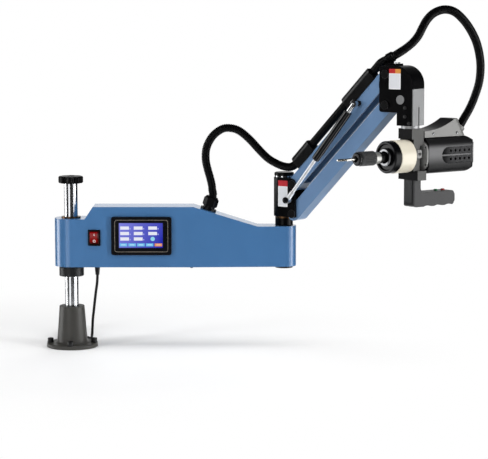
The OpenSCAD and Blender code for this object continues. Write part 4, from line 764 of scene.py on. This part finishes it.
def vinyl_plate(name, place, width, height, header, header_right, body):
    """A plain vinyl plate with a coloured head, set on a flat face"""
    vinyl = finish(name + "_vinyl", shade(232, 232, 234), rough=0.3, grain=0.004, depth=0.000004,
                   vary=0.03)
    x, y, _ = vinyl.axes(place)
    head_tone = vinyl.mix(x > 0.001, header, header_right)
    inner = (abs(x) < width / 2 - vinyl_margin) * (abs(y + height * 0.1) < height * 0.36)
    field = vinyl.mix(inner, vinyl.base, shade(214, 216, 220))
    vinyl.put("Base Color", vinyl.mix(y > height * 0.28, field, head_tone))
    blank = plate(width=width, height=height, corner=0.0012, thick=vinyl_t)
    piece(name, moved(blank, place), vinyl, body)


red_head = shade(178, 40, 48)
vinyl_plate("post_plate", post @ shifted(0.0133, -0.02402, 0.3405) @ face_out, width=0.0247,
            height=0.057, header=red_head, header_right=red_head, body="swivel_post")

# Second arm
# Two die-cast channels in the arm's blue swing side by side on their pins and keep the head
# level; their paint is made paler than the arm's as painted light. Black covers on the upper one
# hold the conduit down.
lit_link_paint = finish("lit_link_paint", shade(100, 131, 168), rough=0.32, grain=0.0026, depth=0.00004,
                    vary=0.05, edge=0.0014, Coat_Weight=0.4, Coat_Roughness=0.12)
dress(lit_link_paint, "upper_link", "lower_link")
saddle_plastic = finish("saddle_plastic", shade(4, 4, 5), rough=0.3, grain=0.0008, depth=0.00002,
                        vary=0.15, edge=0.0012, Specular_IOR_Level=0.3)
dress(saddle_plastic, "lower_saddle", "upper_saddle")

# Gas spring
# A black lacquered cylinder with a hard-chromed rod takes the weight of the head and the links.
# Ball studs carry it, the cylinder by its bright socket and the rod by one with a black cap.
ball_out = 0.033
ball_z = pivot("gas_rod_pivot").z
spring_lift = 51.48
spring_place = post @ shifted(ball_out, -0.036, ball_z) @ rotated(-spring_lift, "Y")
lacquer = finish("spring_lacquer", shade(4, 4, 5), rough=0.2, grain=0.0012, depth=0.000006,
                 vary=0.15, Specular_IOR_Level=0.35)
dress(lacquer, "gas_cylinder")
rod_chrome = finish("rod_chrome", shade(222, 224, 227), rough=0.3, grain=0.0005, depth=0.000002,
                    vary=0.03, lines=(spring_place, "X", 0.0003), Metallic=1.0)
dress(rod_chrome, "gas_rod")
cylinder_socket = lacquer.axes(spring_place)[0] > 0.2498
lacquer.put("Base Color", lacquer.mix(cylinder_socket, lacquer.base, shade(196, 197, 198)))
lacquer.put("Metallic", cylinder_socket)
socket = turned([(0, 0.0006), (0.0052, 0.0006), (0.0056, 0), (0.0068, 0), (0.0068, 0.0035),
                 (0.0058, 0.0046), (0.003, 0.005), (0.0028, 0.0042), (0, 0.004)])
piece("rod_socket_cap", moved(socket, post @ shifted(ball_out, -0.041, ball_z) @ face_out),
      lacquer, "gas_rod")

# End bracket
# The cast bracket closes over the ends of both links. Screws and a pale blanking cap sit in its
# near cheek, and a bright plate is fixed on the leg that holds the head's swivel.
cheek = -0.025
screw_steel = finish("screw_steel", shade(196, 198, 200), rough=0.25, grain=0.0005, depth=0.000004,
                     vary=0.06, Metallic=1.0)
for n, (x, z) in enumerate(((0.0489, -0.0043), (0.0491, -0.0225), (0.0590, -0.0361))):
    place = bracket @ shifted(x, cheek, z) @ face_out
    screw = socket_screw(d=0.007, h=0.0016)
    piece(f"cheek_screw_{n}", moved(screw, place), black_oxide, "end_bracket")
cap_grey = finish("cap_grey", shade(120, 121, 122), rough=0.4, grain=0.001, depth=0.00001)
cap = turned([(0, 0), (0.0095, 0), (0.0095, 0.0006), (0.0088, 0.0013), (0.0074, 0.0014),
              (0.0070, 0.0010), (0.003, 0.0011), (0, 0.0012)], sides=32)
piece("blanking_cap", moved(cap, bracket @ shifted(0.0373, cheek, 0.012) @ face_out), cap_grey,
      "end_bracket")
vinyl_plate("bracket_plate", bracket @ shifted(0.0238, -0.02502, 0.0545) @ face_out, width=0.028,
            height=0.042, header=shade(184, 42, 44), header_right=shade(206, 140, 64),
            body="end_bracket")
for n, y in enumerate((-0.0116, 0.0006)):
    place = bracket @ shifted(0.0185, y, 0.086)
    screw = socket_screw(d=0.0055, h=0.0028)
    piece(f"clamp_screw_{n}", moved(screw, place), screw_steel, "end_bracket")
leg_grey = finish("leg_plate_grey", shade(158, 159, 160), rough=0.42, grain=0.0006, depth=0.00001,
                  vary=0.06, lines=(post, "Y", 0.0003), Metallic=0.5)
dress(leg_grey, "leg_plate", "swivel_ring")

# Head block
# The black block hangs on the swivel below the leg and carries the gearbox before it, the motor
# behind it and the handle below. Painted light colours its near side grey, and a pale lug with
# its screw stands there.
lug_place = head @ shifted(0.0025, -0.021, 0.005) @ face_out
lug_t = 0.006


def head_way(x, y):
    """A level direction of the head's own, in the machine's axes"""
    return head.to_3x3() @ Vector((x, y, 0))


block_lit_side = finish("head_block_painted_light", shade(3, 3, 4), rough=0.45, grain=0.0009, depth=0.00002, vary=0.2,
               Specular_IOR_Level=0.05)
# Painted light: faces turned to the near side are grey as if lit, the rest stay black
painted_lit_side = block_lit_side.facing(head_way(0, -1)) > 0.9
block_lit_side.put("Base Color", block_lit_side.mix(painted_lit_side, block_lit_side.base, shade(84, 84, 83)))
dress(block_lit_side, "head_block")
lug_grey = finish("lug_grey", shade(112, 112, 111), rough=0.4, grain=0.0008, depth=0.00001)
lug = plate(width=0.013, height=0.0175, corner=0.003, thick=lug_t, eased=0.001)
piece("side_lug", moved(lug, lug_place), lug_grey, "head")
piece("lug_screw", moved(socket_screw(d=0.006, h=0.002), lug_place @ shifted(0, 0, lug_t)),
      black_oxide, "head")

# Gearbox and torque drum
# The gearbox is enamelled cream. Before it the black drum that limits the torque runs up to a
# plain steel ring round the spindle.
cream = finish("cream_enamel", shade(194, 188, 172), rough=0.34, grain=0.0028, depth=0.00003,
               vary=0.03, edge=0.001, Coat_Weight=0.3, Coat_Roughness=0.12)
dress(cream, "gear_housing")
ring_steel = finish("drum_ring_steel", shade(120, 121, 123), rough=0.32, grain=0.0005,
                    depth=0.000004, vary=0.05, lines=(head, "X", 0.0003), Metallic=1.0)
dress(ring_steel, "drum_ring")

# Spindle, chuck and tap
# The spindle and the quick-change chuck are blacked steel with turned rings and a bright neck.
# The sliding sleeve is knurled, and the tap is ground tool steel with its thread cut in.
blacked = finish("blacked_steel", shade(22, 22, 23), rough=0.36, grain=0.0005, depth=0.00001,
                 vary=0.15, rubbed=shade(120, 120, 122), lines=(head, "X", 0.0004), Metallic=0.7)
neck = blacked.axes(head)[0].between(-0.1008, -0.0875, 0.0003)
blacked.put("Base Color", blacked.mix(neck, blacked.base, shade(160, 160, 157)))
dress(blacked, "spindle", "chuck")
knurled = finish("knurled_sleeve", shade(52, 52, 53), rough=0.38, grain=0.0006, depth=0.00001,
                 vary=0.12, Metallic=0.7)
knurl_count = 40
knurl_pitch = 0.0024
x, y, z = knurled.axes(head)
around = z.one("ARCTAN2", y) * knurl_count
along = x * (math.tau / knurl_pitch)
height = (around + along).one("SINE") * (around - along).one("SINE")
knurled.relief(height, 0.00025)
knurled.put("Base Color", knurled.mix(height * 0.4 + 0.4, shade(30, 30, 31), shade(120, 121, 122)))
dress(knurled, "chuck_sleeve")
tool_steel = finish("tool_steel", shade(188, 186, 180), rough=0.24, grain=0.0005, depth=0.000004,
                    vary=0.06, Metallic=1.0)
thread_pitch = 0.001
thread_end = -0.172
x = tool_steel.axes(head)[0]
wave = (x * (math.tau / thread_pitch)).one("SINE")
tool_steel.relief(wave * (x < thread_end), 0.00035, 0.0002)
dress(tool_steel, "tap")

# Motor
# The servo motor is bolted to a machined flange under a moulded cover. The cover has two long
# hollows with a rib between them and rows of round holes. Painted light greys its middle and
# painted shade blackens it above and below; the hollows are painted dark as shade, black at
# their front ends.
skin_y = 0.0342
hollow_y = 0.0315
hollow_x = 0.0585
hollow_z = 0.0174
flange_metal = finish("flange_metal", shade(140, 140, 139), rough=0.34, grain=0.0006,
                      depth=0.00001, vary=0.06)
dress(flange_metal, "motor_flange")
cover_plastic = finish("cover_plastic", shade(100, 100, 101), rough=0.4, grain=0.0007,
                       depth=0.00003, vary=0.1, edge=0.0014, Specular_IOR_Level=0.12)
x, y, z = cover_plastic.axes(head)
hollow = (abs(y) < skin_y) * (abs(y) > hollow_y) * (x > hollow_x) * (abs(z) < hollow_z)
# Painted shade: bands above and below the middle turn near black
painted_shade_bands = z.between(-0.2, -0.009, 0.014) + z.between(0.0185, 0.2, 0.006)
outside = cover_plastic.mix(painted_shade_bands * 0.95, cover_plastic.base, shade(4, 4, 5))
# Painted shade in the hollows: black at their front ends, dark grey further back
inside = cover_plastic.mix(x.between(0.078, 0.2, 0.014), shade(2, 2, 3), shade(54, 54, 55))
cover_plastic.put("Base Color", cover_plastic.mix(hollow, outside, inside))
cover_plastic.put("Roughness", hollow * 0.3 + 0.4)
dress(cover_plastic, "motor_cover")

# Cable box
# A moulded box on the motor takes the conduit's cables down to the motor. It is black, with
# painted light colouring its sides grey, and two small screws in each side hold it to the cover.
box_side = 0.0225
box_plastic = finish("box_plastic", shade(100, 100, 98), rough=0.34, grain=0.0007, depth=0.00003,
                     vary=0.1, edge=0.0014)
painted_lit_sides = abs(box_plastic.facing(head_way(0, 1))) > 0.7
# Painted light: the side faces are grey as if lit, every other face near black
box_plastic.put("Base Color", box_plastic.mix(painted_lit_sides, shade(22, 22, 23), box_plastic.base))
dress(box_plastic, "cable_box")
pan_key_r = 0.0009
pan = [(0, 0), (0.003, 0), (0.0029, 0.0006), (0.0022, 0.0013), (0.0010, 0.0016),
       (pan_key_r, 0.0007), (0, 0.0006)]
for n, (x, side) in enumerate(((0.0448, -1), (0.1117, -1), (0.0448, 1), (0.1117, 1))):
    place = head @ shifted(x, side * box_side, 0.0451) @ rotated(-90 * side, "X")
    piece(f"box_screw_{n}", moved(turned(pan, sides=20, hexagon=pan_key_r), place), screw_steel,
          "head")

# Handle
# The grip is moulded with a fine spark texture and finger hollows below. Painted light colours it
# dark grey and painted shade leaves its front black. Two push buttons on top start the tap
# forwards and backwards.
grip = finish("grip_plastic", shade(52, 52, 53), rough=0.4, grain=0.0006, depth=0.00004, vary=0.1,
              edge=0.0016, Specular_IOR_Level=0.2)
shaded_front = grip.facing(head_way(-1, 0)) > 0.8
# Painted shade: the faces looking forwards are black, the rest painted dark grey as if lit
grip.put("Base Color", grip.mix(shaded_front, grip.base, shade(3, 3, 4)))
dress(grip, "handle")
for name, colour in (("forward_button", (24, 108, 62)), ("reverse_button", (150, 28, 26))):
    button = finish(name + "_plastic", shade(*colour), rough=0.25, grain=0.001, depth=0.000006,
                    vary=0.08)
    dress(button, name)

# Floor, backdrop and light
# The bench is left out: the floor is plain and pale, keeps the machine's shadow near the foot
# and fades to white. The lamps are soft: left front, right front, behind and above.
floor_half = 7
white_from, white_to = 0.15, 0.9
mirror_from, mirror_to = 0.25, 0.7
bm = bmesh.new()
bmesh.ops.create_grid(bm, x_segments=1, y_segments=1, size=floor_half)
mesh = bpy.data.meshes.new("floor")
bm.to_mesh(mesh)
bm.free()
floor = bpy.data.objects.new("floor", mesh)
floor.location = (0.4, 1.5, 0)
scene.collection.objects.link(floor)
pale = Finish("pale_floor", Roughness=0.5)
pale.put("Base Color", pale.mix(pale.noise(0.2), shade(236, 236, 236), shade(240, 240, 240)))
away = pale.node("VectorMath", {"operation": "LENGTH"},
                 {0: pale.node("NewGeometry", {}, {}, "Position")}, 1)
white = pale.node("Emission", {}, {"Color": (1, 1, 1, 1), "Strength": 1.0})
fade = away.rise(white_from, white_to) * pale.ray("Camera")
unseen = away.rise(mirror_from, mirror_to) * pale.ray("Glossy")
mixed = pale.node("MixShader", {}, {0: fade, 1: Tone(pale, pale.shader.outputs[0]), 2: white})
mixed = pale.node("MixShader", {}, {0: unseen, 1: mixed,
                                    2: pale.node("BsdfTransparent", {}, {})})
pale.tree.links.new(mixed.socket, pale.tree.nodes["Material Output"].inputs["Surface"])
mesh.materials.append(pale.material)

# The studio's white is seen by the camera. Metal sees dark walls with bright panels instead,
# placed by the direction round the machine, with 0 behind the camera and left of it negative.
world = bpy.data.worlds.new("studio")
scene.world = world
world.use_nodes = True
studio = Graph(world.node_tree)
ambient = 0.45
x, y, z = studio.parts(studio.node("TexCoord", {}, {}, "Generated"))
azimuth = x.one("ARCTAN2", -1 * y) * (180 / math.pi)
panels = (azimuth.between(-112, -86, 2) * 5 + azimuth.between(-36, -14, 5) * 1.6
          + azimuth.between(50, 57, 2) * 3 + azimuth.between(66, 92, 3) * 5
          + abs(azimuth).between(150, 400, 4))
mirrored = 0.03 + panels * z.between(-2, 0.3, 0.12)
glossy = studio.ray("Glossy")
clear = studio.ray("Camera").one("MAXIMUM", studio.ray("Transmission"))
level = clear + (1 - clear) * (glossy * mirrored + (1 - glossy) * ambient)
sky = world.node_tree.nodes["Background"]
sky.inputs["Color"].default_value = (1, 1, 1, 1)
world.node_tree.links.new(level.socket, sky.inputs["Strength"])


def lamp(name, place, aim, size, watts):
    """A soft rectangular lamp"""
    light = bpy.data.lights.new(name, "AREA")
    light.shape = "RECTANGLE"
    light.size, light.size_y = size
    light.energy = watts
    lamp_object = bpy.data.objects.new(name, light)
    lamp_object.location = place
    lamp_object.rotation_euler = (Vector(aim) - Vector(place)).to_track_quat("-Z", "Y").to_euler()
    lamp_object.visible_glossy = False
    scene.collection.objects.link(lamp_object)


lamp("left", place=(-2.4, -1.8, 1.3), aim=(0.3, 0, 0.35), size=(0.6, 1.6), watts=40)
lamp("right", place=(2.6, -1.5, 0.8), aim=(0.5, 0, 0.4), size=(0.5, 1.6), watts=46)
lamp("back", place=(0.9, 2.6, 1.3), aim=(0.4, 0, 0.35), size=(1.2, 1.2), watts=26)
lamp("top", place=(0.3, -0.3, 2.4), aim=(0.35, 0, 0.3), size=(1.6, 1.0), watts=32)
